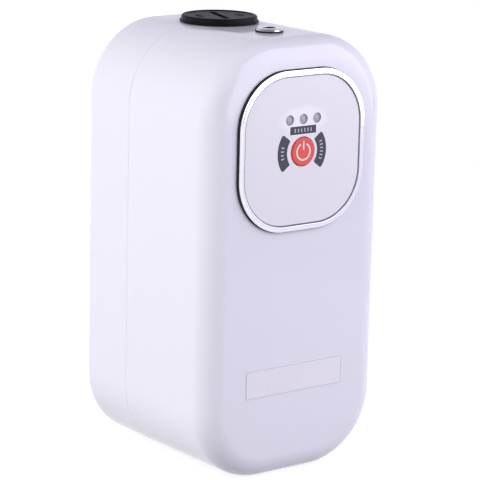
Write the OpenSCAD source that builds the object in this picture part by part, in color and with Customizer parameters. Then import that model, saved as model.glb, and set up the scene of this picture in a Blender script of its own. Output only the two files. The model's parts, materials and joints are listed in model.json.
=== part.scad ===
// In-line shower booster pump with a permanent-magnet canned motor, in a two-part plastic casing.
// Origin: centre of the footprint at the base. +Z up, +X to the right as seen from the front,
// +Y towards the back. The outlet port is on top, the inlet port in the base, on one axis.

/* [Casing] */
// Width of the casing
casing_w = 94; // [88:1:110]
// Depth of the casing, front face to back face
casing_d = 92; // [90:1:100]
// Height of the casing
casing_h = 190; // [188:1:200]
// Width of the flat top and base between the rounded corners
top_flat_w = 28; // [22:1:34]
// Radius of the rounded front edge
front_r = 10; // [7:0.5:12]
// Radius of the rounded back edge
back_r = 5; // [4:0.5:7]
// Wall thickness of both covers
wall = 2.5; // [2.2:0.1:3]
// Depth of the rear cover, from the back face to the seam
rear_d = 33; // [31:0.5:36]

/* [Bezel and panel] */
// Width over the face of the bezel ring
bezel_w = 67; // [64:0.5:70]
// Height over the face of the bezel ring
bezel_h = 69; // [66:0.5:72]
// Corner radius of the bezel ring's face
bezel_r = 24.5; // [20:0.5:27]
// Width of the ring's bright face
bezel_face_w = 2.7; // [2:0.1:3.2]
// How far the ring stands proud of the casing
bezel_proud = 2; // [1.5:0.1:2.6]
// How much wider each side of the ring is where it meets the casing
bezel_flare = 1; // [0.6:0.1:1.5]
// Height of the panel's centre above the base
panel_z = 143; // [141:0.5:145]
// Radius of the power button
button_r = 6.1; // [5:0.1:7]
// Travel of the power button
button_travel = 0.5; // [0.3:0.05:0.6]
// Radius of each indicator light
lens_r = 2.1; // [1.6:0.1:2.3]
// Spacing of the indicator lights
lens_pitch = 7.3; // [6.5:0.1:8]
// Height of the indicator lights above the button's centre
lens_rise = 13.8; // [13:0.1:15]

/* [Ports] */
// Radius of the port thread at its crests (G3/4 minor radius)
thread_r = 12.06; // [11.5:0.01:12.2]
// Length of the thread in each port
thread_len = 15.5; // [14:0.5:17]
// Outer radius of the brass inserts
insert_r = 14; // [13.6:0.1:14.4]
// Outer radius of the port sockets
socket_r = 15.8; // [15.5:0.1:16]
// Radius of the plug's flange
plug_flange_r = 17.3; // [17:0.1:19]
// Height of the plug's head
plug_head_h = 2.5; // [2.4:0.1:4]
// Length of the plug's threaded shank
plug_shank_len = 10; // [8:0.5:11]

/* [Power jack] */
// Distance of the jack's axis behind the front face
jack_front = 23.5; // [22:0.5:25]
// Radius of the jack's flange
jack_flange_r = 5.8; // [5.5:0.1:6.5]
// Radius of the jack's threaded barrel
jack_barrel_r = 4; // [3.8:0.1:4.3]
// Radius of the jack's hole
jack_hole_r = 2.8; // [2.6:0.05:3]

/* [Pump and motor] */
// Height of the motor axis above the base
motor_z = 66; // [64:0.5:68]
// Radius of the impeller
impeller_r = 21.5; // [20:0.5:22]
// Thickness of the impeller
impeller_t = 8; // [7:0.5:8.5]
// Number of impeller vanes
vane_count = 6; // [5:1:8]
// Outer radius of the rotor magnet
magnet_r = 12.2; // [11:0.1:12.4]
// Radius of the rotor shaft
shaft_r = 3; // [2.5:0.1:3.3]
// Outer radius of the stator core
stator_r = 27.2; // [26:0.1:27.6]
// Number of stator teeth
tooth_count = 9; // [6:3:9]

/* [Flow sensor] */
// Travel of the flow poppet
poppet_travel = 6; // [4:0.5:7]
// Radius of the poppet's disc
poppet_r = 9.2; // [8.6:0.1:9.5]
// Number of turns of the poppet's spring
spring_turns = 7; // [5:1:8]

/* [Front sticker] */
// Width of the clear sticker
sticker_w = 52; // [40:1:54]
// Height of the clear sticker
sticker_h = 12.4; // [8:0.2:16]
// Height of the sticker's centre above the base
sticker_z = 43.5; // [40:0.5:60]

/* [Hidden] */

$fn = 96;
overrun = 1;          // how far every cut runs past the solid it cuts
body_gap = 0.3;       // between parts that move against each other
run_fit = 0.05;       // radial clearance of a shaft or a screw in its hole

// Casing: the overall depth, bezel included, is centred on Y = 0
back_y = (casing_d + bezel_proud) / 2;
front_y = back_y - casing_d;
seam_y = back_y - rear_d;
corner_r = (casing_w - top_flat_w) / 2;
inner_r = corner_r - wall;
lip_w = 1.2;          // outer part of the front cover's wall that laps over the tongue
lip_clear = 0.2;
rabbet_d = 3;
gasket_t = 0.8;
tongue_r = corner_r - lip_w - lip_clear;
tongue_y = seam_y - rabbet_d + gasket_t;

// Screws that close the casing
screw_inset_x = 11;
screw_inset_z = 34;
screw_x = casing_w / 2 - screw_inset_x;
screw_zs = [screw_inset_z, casing_h - screw_inset_z];
screw_r = 1.9;
screw_head_r = 3.4;
screw_head_h = 2.4;
screw_len = 26;
screw_recess_w = 0.8;
screw_recess_d = 1.2;
well_r = 4.2;
well_wall = 1.4;
well_floor_t = 6;
boss_r = 4.4;
boss_len = 34;
rib_t = 2;
head_y = seam_y + well_floor_t;
boss_hole_len = screw_len - well_floor_t + overrun;

// Ports: the port axis lies in the seam
port_y = seam_y;
collar_t = 0.8;
collar_lip_w = 1.3;
collar_lip_t = 1.2;
collar_sink = 0.2;    // how far the collars lie below the casing's outside
port_hole_r = socket_r + collar_t;
collar_run = max(port_hole_r + collar_lip_w - top_flat_w / 2, 0);
collar_drop = inner_r - sqrt(inner_r * inner_r - collar_run * collar_run) + run_fit;
collar_neck = wall - collar_sink + collar_drop;   // reaches past the curve inside the wall
inlet_rim_z = 0.5;
outlet_rim_rise = 0.2;
outlet_rim_z = casing_h + outlet_rim_rise;

// Plug
seal_t = 0.5;
plug_lip_t = 0.8;
plug_lip_w = 0.7;
plug_chamfer = 0.8;
plug_dish_d = 0.4;
plug_rim_w = 1.6;
slot_w = 2.2;
slot_len = 23;
slot_d = 1.8;
slot_angle = 72;
plug_bore_r = 9;
plug_z = outlet_rim_z + seal_t;

// Bezel and panel
bezel_skirt_in = 0.5;
pocket_d = 1.6;
pocket_clear = 0.1;
panel_gap = 0.4;
label_sink = 0.6;
label_t = 0.2;
label_in = 0.2;
floor_y = front_y + pocket_d;
bezel_y = front_y - bezel_proud;
bezel_in_r = bezel_r - bezel_face_w;
bezel_cx = bezel_w / 2 - bezel_r;
bezel_cz = bezel_h / 2 - bezel_r;
panel_r = bezel_in_r - panel_gap;
label_y = bezel_y + label_sink;
panel_y = label_y + label_t;
pad_margin = 3;
pad_t = 1.5;
window_w = 27;
window_low = 10;
window_high = 19;

// Front sticker
sticker_t = 0.15;
sticker_r = 1;

// Button and tactile switch
button_drop = 0.5;    // the button sits this far below the panel's centre
button_z = panel_z - button_drop;
button_sink = 0.1;
button_y = bezel_y + button_sink;
button_round = 0.5;
button_flange_w = 1.1;
button_flange_t = 0.8;
button_recess_d = 1.2;
button_stem_r = 2.5;
button_flange_y = floor_y - button_recess_d + body_gap;
button_stem_len = 2.4;
plunger_y = floor_y + button_stem_len;
plunger_r = 1.75;
plunger_len = 1.7;
switch_w = 6;
switch_h = 3.5;
plunger_show = 1.5;
switch_y = plunger_y + plunger_show;
plunger_hole_d = plunger_len - plunger_show + button_travel + body_gap;
board_y = switch_y + switch_h;

// Indicator lights
lens_z = button_z + lens_rise;
lens_sink = 0.4;
lens_y = label_y + lens_sink;
lens_bar_t = 1;
lens_bar_h = 5;
lens_clear = 0.1;
led_w = 3;
led_h = 2;
led_t = 1;
lens_end_y = board_y - led_t - body_gap;

// Controller board
board_w = 56;
board_h = 60;
board_t = 1.6;
board_back_y = board_y + board_t;
post_in = 3.5;
post_r = 3.2;
board_screw_r = 1.5;
board_screw_len = 5;
board_head_r = 2.8;
board_head_h = 1.8;
header_w = 8;
header_h = 6;
header_d = 6;
lead_r = 1.6;
cap_r = 5;
cap_len = 11;
chip_w = 7;
chip_t = 1.6;

// Power jack
jack_y = front_y + jack_front;
jack_washer_t = 0.3;
jack_flange_h = 1.5;
jack_barrel_len = 11.5;
jack_face_w = 1.2;
jack_pin_r = 1;
jack_pin_sink = 1.2;
jack_plug_t = 4;
jack_tail_len = 2.5;
jack_nut_r = 6.35;
jack_nut_h = 2.6;
jack_top_z = casing_h + jack_washer_t + jack_flange_h;
jack_end_z = casing_h - jack_barrel_len;

// Pump: the impeller turns about the Y axis through motor_z
impeller_gap = 0.6;
pump_shift = 16;      // the pump chamber's front lies this far in front of the port axis
chamber_y = port_y - pump_shift;
chamber_spare = 1;
chamber_depth = impeller_t + impeller_gap + chamber_spare;
chamber_back_y = chamber_y + chamber_depth;
eye_wall_t = 3;
eye_r = 8.5;
duct_r = 7;
duct_wall = 2.5;
duct_y = chamber_back_y + eye_wall_t + duct_r;
volute_gap = 1.5;
volute_start_r = impeller_r + volute_gap;
volute_growth = 1.3;
volute_end_r = volute_start_r + 3 * volute_growth;
pump_wall = 3;
carrier_t = 2;
carrier_ledge_w = 2.5;
carrier_r = volute_end_r + carrier_ledge_w;
flange_y = chamber_y - carrier_t;
can_flange_t = 2;
seal_groove_w = 2;
can_seal_r = 0.8;
seal_land_w = 1.3;
can_seal_ring_r = carrier_r + seal_land_w + seal_groove_w / 2;
pump_r = can_seal_ring_r + seal_groove_w / 2 + seal_land_w;
lug_r = 4.2;
lug_reach = 1.5;
lug_ring_r = pump_r + lug_reach;
lug_depth = 12;
motor_screw_r = 2;
motor_screw_head_r = 3.5;
motor_screw_head_h = 2.5;
motor_screw_len = 11;
can_flange_r = lug_ring_r - motor_screw_r - body_gap;
bore_r = 10;
tube_r = 12.8;
inlet_bore_len = 10;
throat_r = 4.4;
throat_wall = 2;
throat_in = 1.5;
throat_x = volute_start_r - throat_r - throat_in;
collector_h = 7;
collector_sink = 1.5;
collector_z = motor_z + pump_r - collector_sink;
socket_len = 20;
strainer_t = 0.6;
strainer_hole_r = 0.8;
strainer_pitch = 2.6;
strainer_rings = 3;

// Motor
can_flange_y = flange_y - can_flange_t;
housing_flange_t = 2;
housing_wall = 2;
can_r = 13;
can_wall = 0.8;
stator_gap = 0.3;
stator_in_r = can_r + can_wall + stator_gap;
stator_set_back = 4;
lead_space = 4.5;     // between the front wall and the motor, for the motor's lead
coil_t = 2.4;
coil_head_gap = 1.6;
housing_y = front_y + wall + lead_space;
stator_y = housing_y + housing_wall + coil_head_gap + coil_t;
stator_len = can_flange_y - stator_set_back - stator_y;
magnet_short = 4;     // how much shorter than the stator core the magnet is
magnet_len = stator_len - magnet_short;
coil_in = 2.5;
coil_len = 6;
tooth_w = 4;
tip_t = 1.9;
tip_angle = 30;
yoke_w = 4.2;
can_end_y = housing_y + housing_wall;
bush_wall = 2;
bush_len = 5;
can_end_t = 1;
can_bush_y = can_end_y + can_end_t;
carrier_bush_y = flange_y - bush_len;
washer_t = 0.8;
washer_gap = 0.1;
magnet_y = carrier_bush_y - washer_t - 2 * washer_gap - magnet_len;
shaft_end_gap = 0.5;
shroud_t = 1.5;
hub_r = 5.5;
hub_nose = 0.8;
vane_t = 1.2;
vane_r = 13;
vane_sweep = 100;
vane_shift = 9;
grommet_r = 3.4;
grommet_lip = 1;
grommet_rise = 20;

// Flow sensor
seat_r = 7.5;
seat_z = 115;
stem_r = 2;
poppet_t = 2;
sensor_magnet_r = 5;
sensor_magnet_len = 6;
guide_spare = 6;      // between the guide and the magnet when the poppet is fully lifted
guide_z = seat_z + poppet_t + sensor_magnet_len + poppet_travel + guide_spare;
guide_t = 3;
guide_rim_w = 1.4;
guide_hub_r = 4.2;
guide_spoke_w = 1.6;
poppet_z = seat_z + body_gap;
stem_show = 0.5;
stem_len = guide_z + guide_t - poppet_z + stem_show;
spring_r = 6.6;
spring_wire_r = 0.45;
spring_gap = 0.1;
spring_z0 = poppet_z + poppet_t + spring_wire_r + spring_gap;
spring_z1 = guide_z - spring_wire_r - spring_gap;
reed_w = 8;
reed_d = 5;
reed_h = 20;
reed_drop = 2;
reed_z = seat_z - reed_drop;

casing_white = [0.93, 0.92, 0.96];
steel = [0.75, 0.76, 0.78];
chrome = [0.85, 0.86, 0.88];
black = [0.13, 0.13, 0.14];
brass = [0.79, 0.66, 0.36];
copper = [0.72, 0.42, 0.24];
board_green = [0.12, 0.38, 0.24];

// Turns a child built along +Z so that it runs along +Y from y
module along_y(x, y, z) {
  translate([x, y, z]) rotate([-90, 0, 0]) children();
}

// Ring about +Z
module ring(outer, inner, h) {
  difference() {
    cylinder(h = h, r = outer);
    translate([0, 0, -overrun]) cylinder(h = h + 2 * overrun, r = inner);
  }
}

// Sweeps a 2D profile round a rounded rectangle that faces the front. The profile's x is the
// distance out from the corner centres (at cx, cz) and its y is the place along Y
module around(cx, cz) {
  turns = [[1, -1, 0], [-1, -1, 90], [-1, 1, 180], [1, 1, 270]];
  for (t = turns)
    translate([t[0] * cx, 0, t[1] * cz]) rotate([0, t[2], 0]) rotate([-90, 0, 0])
      rotate_extrude(angle = 90) children();
  for (side = [0, 1]) {
    mirror([side, 0, 0]) translate([cx, 0, 0]) linear_extrude(2 * cz, center = true) children();
    mirror([0, 0, side]) translate([0, 0, cz]) rotate([0, -90, 0])
      linear_extrude(2 * cx, center = true) children();
  }
}

// Edge of a rounded block: straight, with an arc of radius fr in front and br behind
module edge_profile(r, y0, y1, fr, br) {
  translate([0, y0 + fr]) square([r, y1 - y0 - fr - br]);
  if (fr > 0) {
    translate([0, y0]) square([r - fr, fr]);
    intersection() {
      translate([r - fr, y0 + fr]) circle(fr);
      translate([r - fr, y0]) square([fr, fr]);
    }
  }
  if (br > 0) {
    translate([0, y1 - br]) square([r - br, br]);
    intersection() {
      translate([r - br, y1 - br]) circle(br);
      translate([r - br, y1 - br]) square([br, br]);
    }
  }
}

// Solid rounded block that faces the front, with its centre at height z
module block(cx, cz, r, y0, y1, z, fr = 0, br = 0) {
  translate([0, 0, z]) {
    around(cx, cz) edge_profile(r, y0, y1, fr, br);
    translate([-cx, y0, -cz]) cube([2 * cx, y1 - y0, 2 * cz]);
  }
}

module casing_block(r, y0, y1, fr = 0, br = 0) {
  block(casing_w / 2 - corner_r, casing_h / 2 - corner_r, r, y0, y1, casing_h / 2, fr, br);
}

module panel_block(r, y0, y1) {
  block(bezel_cx, bezel_cz, r, y0, y1, panel_z);
}

// Straight rod between two points, for the leads
module rod(a, b, r) {
  d = b - a;
  translate(a) rotate([0, acos(d[2] / norm(d)), atan2(d[1], d[0])]) cylinder(h = norm(d), r = r);
}

// Lead of straight runs with a ball a little thicker than the wire at each bend
module lead(points, r) {
  for (i = [1:len(points) - 1]) rod(points[i - 1], points[i], r);
  for (i = [1:len(points) - 2]) translate(points[i]) sphere(r + run_fit);
}

// Holes for the two port sockets in the casing
module port_holes() {
  for (z = [-overrun, casing_h - wall - overrun])
    translate([0, port_y, z]) cylinder(h = wall + 2 * overrun, r = port_hole_r);
}

module at_case_screws(y) {
  for (x = [-screw_x, screw_x], z = screw_zs) along_y(x, y, z) children();
}

module side_ribs(y, len) {
  for (side = [0, 1], z = screw_zs)
    mirror([side, 0, 0]) translate([screw_x, y, z - rib_t / 2])
      cube([casing_w / 2 - wall / 2 - screw_x, len, rib_t]);
}

module at_board_posts(y) {
  for (sx = [-1, 1], sz = [-1, 1])
    along_y(sx * (board_w / 2 - post_in), y, panel_z + sz * (board_h / 2 - post_in)) children();
}

module front_cover() {
  color(casing_white) difference() {
    union() {
      difference() {
        casing_block(corner_r, front_y, seam_y, front_r);
        casing_block(inner_r, front_y + wall, seam_y + overrun, front_r - wall);
      }
      panel_block(bezel_r + pad_margin, front_y + wall / 2, front_y + wall + pad_t);
      at_case_screws(seam_y - boss_len) cylinder(h = boss_len, r = boss_r);
      side_ribs(seam_y - boss_len, boss_len);
      at_board_posts(front_y + wall) cylinder(h = board_y - front_y - wall, r = post_r);
    }
    casing_block(tongue_r + lip_clear, seam_y - rabbet_d, seam_y + overrun);
    panel_block(bezel_r - bezel_skirt_in + pocket_clear, front_y - overrun, floor_y);
    translate([-window_w / 2, floor_y - overrun, button_z - window_low])
      cube([window_w, wall + pad_t + 2 * overrun, window_low + window_high]);
    port_holes();
    translate([0, jack_y, casing_h - wall - overrun])
      cylinder(h = wall + 2 * overrun, r = jack_barrel_r + run_fit);
    at_case_screws(seam_y - boss_hole_len) cylinder(h = boss_hole_len + overrun, r = screw_r + run_fit);
    at_board_posts(board_y - board_screw_len)
      cylinder(h = board_screw_len + overrun, r = board_screw_r + run_fit);
  }
}

module rear_cover() {
  color(casing_white) difference() {
    union() {
      difference() {
        union() {
          casing_block(corner_r, seam_y, back_y, 0, back_r);
          casing_block(tongue_r, tongue_y, seam_y + wall);
        }
        casing_block(inner_r, tongue_y - overrun, back_y - wall, 0, back_r - wall);
      }
      at_case_screws(seam_y) cylinder(h = back_y - wall / 2 - seam_y, r = well_r + well_wall);
      side_ribs(seam_y, back_y - wall / 2 - seam_y);
    }
    port_holes();
    at_case_screws(seam_y - overrun) cylinder(h = well_floor_t + 2 * overrun, r = screw_r + lip_clear);
    at_case_screws(head_y) cylinder(h = back_y - head_y + overrun, r = well_r);
  }
}

module seam_gaskets() {
  color(black) difference() {
    casing_block(tongue_r, seam_y - rabbet_d, tongue_y);
    casing_block(inner_r, seam_y - rabbet_d - overrun, tongue_y + overrun);
    port_holes();
  }
}

// Round-headed screw along +Z with a crossed recess, its head's underside at the origin
module screw(r, len, head_r, head_h) {
  translate([0, 0, -len]) cylinder(h = len, r = r);
  difference() {
    cylinder(h = head_h, r = head_r);
    for (a = [0, 90]) rotate(a)
      translate([-head_r * 0.6, -screw_recess_w / 2, head_h - screw_recess_d])
        cube([head_r * 1.2, screw_recess_w, screw_recess_d + overrun]);
  }
}

module case_screws() {
  color(steel) at_case_screws(head_y) screw(screw_r, screw_len, screw_head_r, screw_head_h);
}

// Rubber ring in a port hole, with a lip against the inside of the wall
module collar() {
  ring(port_hole_r, socket_r, collar_neck);
  translate([0, 0, collar_neck]) ring(port_hole_r + collar_lip_w, socket_r, collar_lip_t);
}

module port_collars() {
  color(black) {
    translate([0, port_y, collar_sink]) collar();
    translate([0, port_y, casing_h - collar_sink]) mirror([0, 0, 1]) collar();
  }
}

module front_label() {
  color([0.9, 0.9, 0.93, 0.6]) block(sticker_w / 2 - sticker_r, sticker_h / 2 - sticker_r, sticker_r,
    front_y - sticker_t, front_y, sticker_z);
}

module bezel_ring() {
  skirt_r = bezel_r - bezel_skirt_in;
  color(chrome) translate([0, 0, panel_z]) around(bezel_cx, bezel_cz)
    polygon([[bezel_in_r, bezel_y], [bezel_r, bezel_y], [bezel_r + bezel_flare, front_y],
      [skirt_r, front_y], [skirt_r, floor_y], [bezel_in_r, floor_y]]);
}

module at_lenses(y) {
  for (i = [-1:1]) along_y(i * lens_pitch, y, lens_z) children();
}

module control_panel() {
  color(casing_white) difference() {
    panel_block(panel_r, panel_y, floor_y);
    along_y(0, panel_y - overrun, button_z)
      cylinder(h = floor_y - panel_y + 2 * overrun, r = button_r + body_gap);
    along_y(0, floor_y - button_recess_d, button_z)
      cylinder(h = button_recess_d + overrun, r = button_r + button_flange_w + body_gap);
    at_lenses(panel_y - overrun) cylinder(h = floor_y - panel_y + 2 * overrun, r = lens_r + lens_clear);
  }
}

module panel_label() {
  color([0.9, 0.89, 0.93]) difference() {
    panel_block(panel_r - label_in, label_y, panel_y);
    along_y(0, label_y - overrun, button_z) cylinder(h = label_t + 2 * overrun, r = button_r + body_gap);
    at_lenses(label_y - overrun) cylinder(h = label_t + 2 * overrun, r = lens_r + lens_clear);
  }
}

module power_button() {
  cap_h = button_flange_y - button_y;
  color([0.9, 0.3, 0.24]) along_y(0, button_y, button_z) {
    rotate_extrude() polygon([[0, 0], [button_r - button_round, 0], [button_r, button_round],
      [button_r, cap_h], [0, cap_h]]);
    translate([0, 0, cap_h]) cylinder(h = button_flange_t, r = button_r + button_flange_w);
    translate([0, 0, cap_h + button_flange_t])
      cylinder(h = plunger_y - button_flange_y - button_flange_t, r = button_stem_r);
  }
}

module switch_plunger() {
  color(black) along_y(0, plunger_y, button_z) cylinder(h = plunger_len, r = plunger_r);
}

module button_switch() {
  color(black) difference() {
    translate([-switch_w / 2, switch_y, button_z - switch_w / 2]) cube([switch_w, switch_h, switch_w]);
    along_y(0, switch_y - overrun, button_z)
      cylinder(h = plunger_hole_d + overrun, r = plunger_r + run_fit);
  }
}

module indicator_lens() {
  color([0.8, 0.8, 0.82]) {
    at_lenses(lens_y) cylinder(h = lens_end_y - lens_y, r = lens_r);
    translate([-lens_pitch - lens_bar_h / 2, floor_y, lens_z - lens_bar_h / 2])
      cube([2 * lens_pitch + lens_bar_h, lens_bar_t, lens_bar_h]);
  }
}

module indicator_leds() {
  color([0.95, 0.94, 0.85]) for (i = [-1:1])
    translate([i * lens_pitch - led_w / 2, board_y - led_t, lens_z - led_h / 2]) cube([led_w, led_t, led_h]);
}

module controller_board() {
  color(board_green) difference() {
    translate([-board_w / 2, board_y, panel_z - board_h / 2]) cube([board_w, board_t, board_h]);
    at_board_posts(board_y - overrun) cylinder(h = board_t + 2 * overrun, r = board_screw_r + run_fit);
  }
}

module board_screws() {
  color(steel) at_board_posts(board_back_y) screw(board_screw_r, board_screw_len, board_head_r, board_head_h);
}

// Places of what sits on the back of the board, as shares of its half width and half height
jack_header_shares = [0.5, 0.62];
motor_header_shares = [0.36, -0.78];
sensor_header_shares = [-0.46, -0.78];
cap_shares = [-0.5, 0.25];
chip_shares = [[0.1, -0.25], [0.45, -0.25], [0.3, 0.15]];

function on_board(shares, y) = [shares[0] * board_w / 2, y, panel_z + shares[1] * board_h / 2];

module driver_chips() {
  color(black) for (s = chip_shares)
    translate(on_board(s, board_back_y) - [chip_w / 2, 0, chip_w / 2]) cube([chip_w, chip_t, chip_w]);
}

module board_capacitor() {
  color([0.2, 0.22, 0.3]) translate(on_board(cap_shares, board_back_y)) rotate([-90, 0, 0])
    cylinder(h = cap_len, r = cap_r);
}

module lead_headers() {
  color([0.92, 0.9, 0.84]) for (s = [jack_header_shares, motor_header_shares, sensor_header_shares])
    translate(on_board(s, board_back_y) - [header_w / 2, 0, header_h / 2])
      cube([header_w, header_d, header_h]);
}

module jack_washer() {
  color(black) translate([0, jack_y, casing_h])
    ring(jack_flange_r + lip_clear, jack_barrel_r + run_fit, jack_washer_t);
}

module jack_body() {
  dome_z = jack_flange_h / 2;
  color(chrome) translate([0, jack_y, casing_h + jack_washer_t]) difference() {
    union() {
      rotate_extrude() polygon([[0, 0], [jack_flange_r, 0], [jack_flange_r, dome_z / 2],
        [jack_hole_r + jack_face_w, jack_flange_h], [0, jack_flange_h]]);
      translate([0, 0, jack_end_z - casing_h - jack_washer_t])
        cylinder(h = jack_barrel_len + jack_washer_t, r = jack_barrel_r);
    }
    translate([0, 0, jack_end_z - casing_h - jack_washer_t - overrun])
      cylinder(h = jack_top_z - jack_end_z + 2 * overrun, r = jack_hole_r);
  }
}

module jack_nut() {
  color(steel) translate([0, jack_y, casing_h - wall - jack_nut_h]) difference() {
    cylinder(h = jack_nut_h, r = jack_nut_r, $fn = 6);
    translate([0, 0, -overrun]) cylinder(h = jack_nut_h + 2 * overrun, r = jack_barrel_r + run_fit);
  }
}

module jack_insulator() {
  color(black) translate([0, jack_y, jack_end_z - jack_tail_len])
    ring(jack_hole_r, jack_pin_r, jack_plug_t + jack_tail_len);
}

module jack_pin() {
  low_z = jack_end_z - 2 * jack_tail_len;
  color(steel) translate([0, jack_y, low_z]) cylinder(h = jack_top_z - jack_pin_sink - low_z, r = jack_pin_r);
}

module port_plug() {
  head_r = plug_flange_r - plug_lip_w;
  color(black) translate([0, port_y, plug_z]) difference() {
    union() {
      rotate_extrude() polygon([[0, 0], [plug_flange_r, 0], [plug_flange_r, plug_lip_t], [head_r, plug_lip_t],
        [head_r, plug_head_h - plug_chamfer], [head_r - plug_chamfer, plug_head_h],
        [head_r - plug_rim_w, plug_head_h], [head_r - plug_rim_w - plug_dish_d, plug_head_h - plug_dish_d],
        [0, plug_head_h - plug_dish_d]]);
      translate([0, 0, -plug_shank_len]) cylinder(h = plug_shank_len, r = thread_r - run_fit);
    }
    translate([0, 0, -plug_shank_len - overrun]) cylinder(h = plug_shank_len, r = plug_bore_r);
    rotate(slot_angle) translate([-slot_len / 2, -slot_w / 2, plug_head_h - slot_d])
      cube([slot_len, slot_w, slot_d + overrun]);
  }
}

module plug_seal() {
  color(black) translate([0, port_y, outlet_rim_z]) ring(socket_r - lip_clear, thread_r + run_fit, seal_t);
}

// Rings of a spiral volute in four quarter turns, each wider than the last
module volute_chamber() {
  for (i = [0:3]) along_y(0, chamber_y, motor_z) rotate(-90 * i)
    rotate_extrude(angle = 90) square([volute_start_r + i * volute_growth, chamber_depth]);
}

module at_lugs(y) {
  for (a = [45:90:315]) along_y(lug_ring_r * cos(a), y, motor_z + lug_ring_r * sin(a)) children();
}

module pump_outside() {
  along_y(0, flange_y, motor_z) cylinder(h = chamber_back_y + eye_wall_t - flange_y, r = pump_r);
  at_lugs(can_flange_y) cylinder(h = lug_depth, r = lug_r);
  translate([0, port_y, inlet_rim_z])
    cylinder(h = motor_z - pump_r + 3 * pump_wall - inlet_rim_z, r = socket_r);
  translate([0, duct_y, inlet_rim_z + thread_len])
    cylinder(h = motor_z + duct_r + duct_wall - inlet_rim_z - thread_len, r = duct_r + duct_wall);
  translate([throat_x, chamber_y + chamber_depth / 2, motor_z])
    cylinder(h = collector_z - motor_z, r = throat_r + throat_wall);
  translate([-bore_r, chamber_y + chamber_depth / 2 - throat_r - throat_wall, collector_z - pump_wall])
    cube([bore_r + throat_x + throat_r + throat_wall, port_y - chamber_y, collector_h + 2 * pump_wall]);
  translate([0, port_y, collector_z - pump_wall])
    cylinder(h = outlet_rim_z - collector_z + pump_wall, r = tube_r);
  translate([0, port_y, outlet_rim_z - socket_len]) cylinder(h = socket_len, r = socket_r);
}

module pump_inside() {
  volute_chamber();
  along_y(0, can_flange_y - overrun, motor_z)
    cylinder(h = can_flange_t + overrun, r = can_flange_r + run_fit);
  along_y(0, flange_y - overrun, motor_z) cylinder(h = carrier_t + overrun, r = carrier_r + run_fit);
  along_y(0, flange_y - overrun, motor_z) ring(can_seal_ring_r + seal_groove_w / 2,
    can_seal_ring_r - seal_groove_w / 2, 2 * can_seal_r + overrun);
  along_y(0, chamber_y, motor_z) cylinder(h = duct_y - chamber_y, r = eye_r);
  at_lugs(can_flange_y - overrun) cylinder(h = motor_screw_len + overrun, r = motor_screw_r + run_fit);
  translate([0, port_y, inlet_rim_z - overrun]) cylinder(h = thread_len + strainer_t + overrun, r = insert_r);
  translate([0, port_y, inlet_rim_z]) cylinder(h = thread_len + strainer_t + inlet_bore_len, r = bore_r);
  translate([0, duct_y, inlet_rim_z + thread_len + strainer_t + inlet_bore_len / 2])
    cylinder(h = motor_z + duct_r - inlet_rim_z - thread_len - strainer_t - inlet_bore_len / 2, r = duct_r);
  translate([throat_x, chamber_y + chamber_depth / 2, motor_z])
    cylinder(h = collector_z - motor_z + overrun, r = throat_r);
  translate([-seat_r, chamber_y + chamber_depth / 2 - throat_r, collector_z])
    cube([seat_r + throat_x + throat_r, port_y - chamber_y - pump_wall, collector_h]);
  translate([0, port_y, collector_z]) cylinder(h = seat_z - collector_z + overrun, r = seat_r);
  translate([0, port_y, seat_z]) cylinder(h = outlet_rim_z - seat_z + overrun, r = bore_r);
  translate([0, port_y, outlet_rim_z - thread_len]) cylinder(h = thread_len + overrun, r = insert_r);
}

module pump_body() {
  color([0.25, 0.26, 0.28]) difference() {
    pump_outside();
    pump_inside();
  }
}

module outlet_insert() {
  color(brass) translate([0, port_y, outlet_rim_z - thread_len]) ring(insert_r, thread_r, thread_len);
}

module inlet_insert() {
  color(brass) translate([0, port_y, inlet_rim_z]) ring(insert_r, thread_r, thread_len);
}

module inlet_strainer() {
  color(steel) translate([0, port_y, inlet_rim_z + thread_len]) difference() {
    cylinder(h = strainer_t, r = insert_r);
    for (q = [-strainer_rings:strainer_rings], p = [-strainer_rings:strainer_rings])
      if (abs(q + p) <= strainer_rings)
        translate([strainer_pitch * (q + p / 2), strainer_pitch * p * sqrt(3) / 2, -overrun])
          cylinder(h = strainer_t + 2 * overrun, r = strainer_hole_r, $fn = 24);
  }
}

module vanes() {
  intersection() {
    for (i = [0:vane_count - 1]) rotate(i * 360 / vane_count) translate([-vane_shift, 0, 0])
      rotate_extrude(angle = vane_sweep) translate([vane_r, 0]) square([vane_t, impeller_t - 2 * shroud_t]);
    ring(impeller_r, hub_r + shroud_t, impeller_t);
  }
}

module impeller() {
  color([0.85, 0.85, 0.8]) along_y(0, chamber_y + impeller_gap, motor_z) {
    ring(impeller_r, shaft_r, shroud_t);
    translate([0, 0, shroud_t]) vanes();
    translate([0, 0, impeller_t - shroud_t]) ring(impeller_r, eye_r - shroud_t / 2, shroud_t);
    difference() {
      cylinder(h = impeller_t + hub_nose, r = hub_r);
      translate([0, 0, -overrun]) cylinder(h = impeller_t + overrun, r = shaft_r);
    }
  }
}

module rotor_magnet() {
  color([0.3, 0.3, 0.33]) along_y(0, magnet_y, motor_z) ring(magnet_r, shaft_r, magnet_len);
}

module rotor_shaft() {
  low_y = can_bush_y + shaft_end_gap;
  color([0.92, 0.92, 0.9]) along_y(0, low_y, motor_z)
    cylinder(h = chamber_y + impeller_gap + impeller_t - low_y, r = shaft_r);
}

module bush() {
  ring(shaft_r + run_fit + bush_wall, shaft_r + run_fit, bush_len);
}

module can_bush() {
  color([0.35, 0.35, 0.37]) along_y(0, can_bush_y, motor_z) bush();
}

module carrier_bush() {
  color([0.35, 0.35, 0.37]) along_y(0, carrier_bush_y, motor_z) bush();
}

module thrust_washers() {
  ys = [carrier_bush_y - washer_t - washer_gap, can_bush_y + bush_len + washer_gap];
  color([0.9, 0.88, 0.8]) for (y = ys)
    along_y(0, y, motor_z) ring(shaft_r + run_fit + bush_wall, shaft_r + run_fit, washer_t);
}

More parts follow.
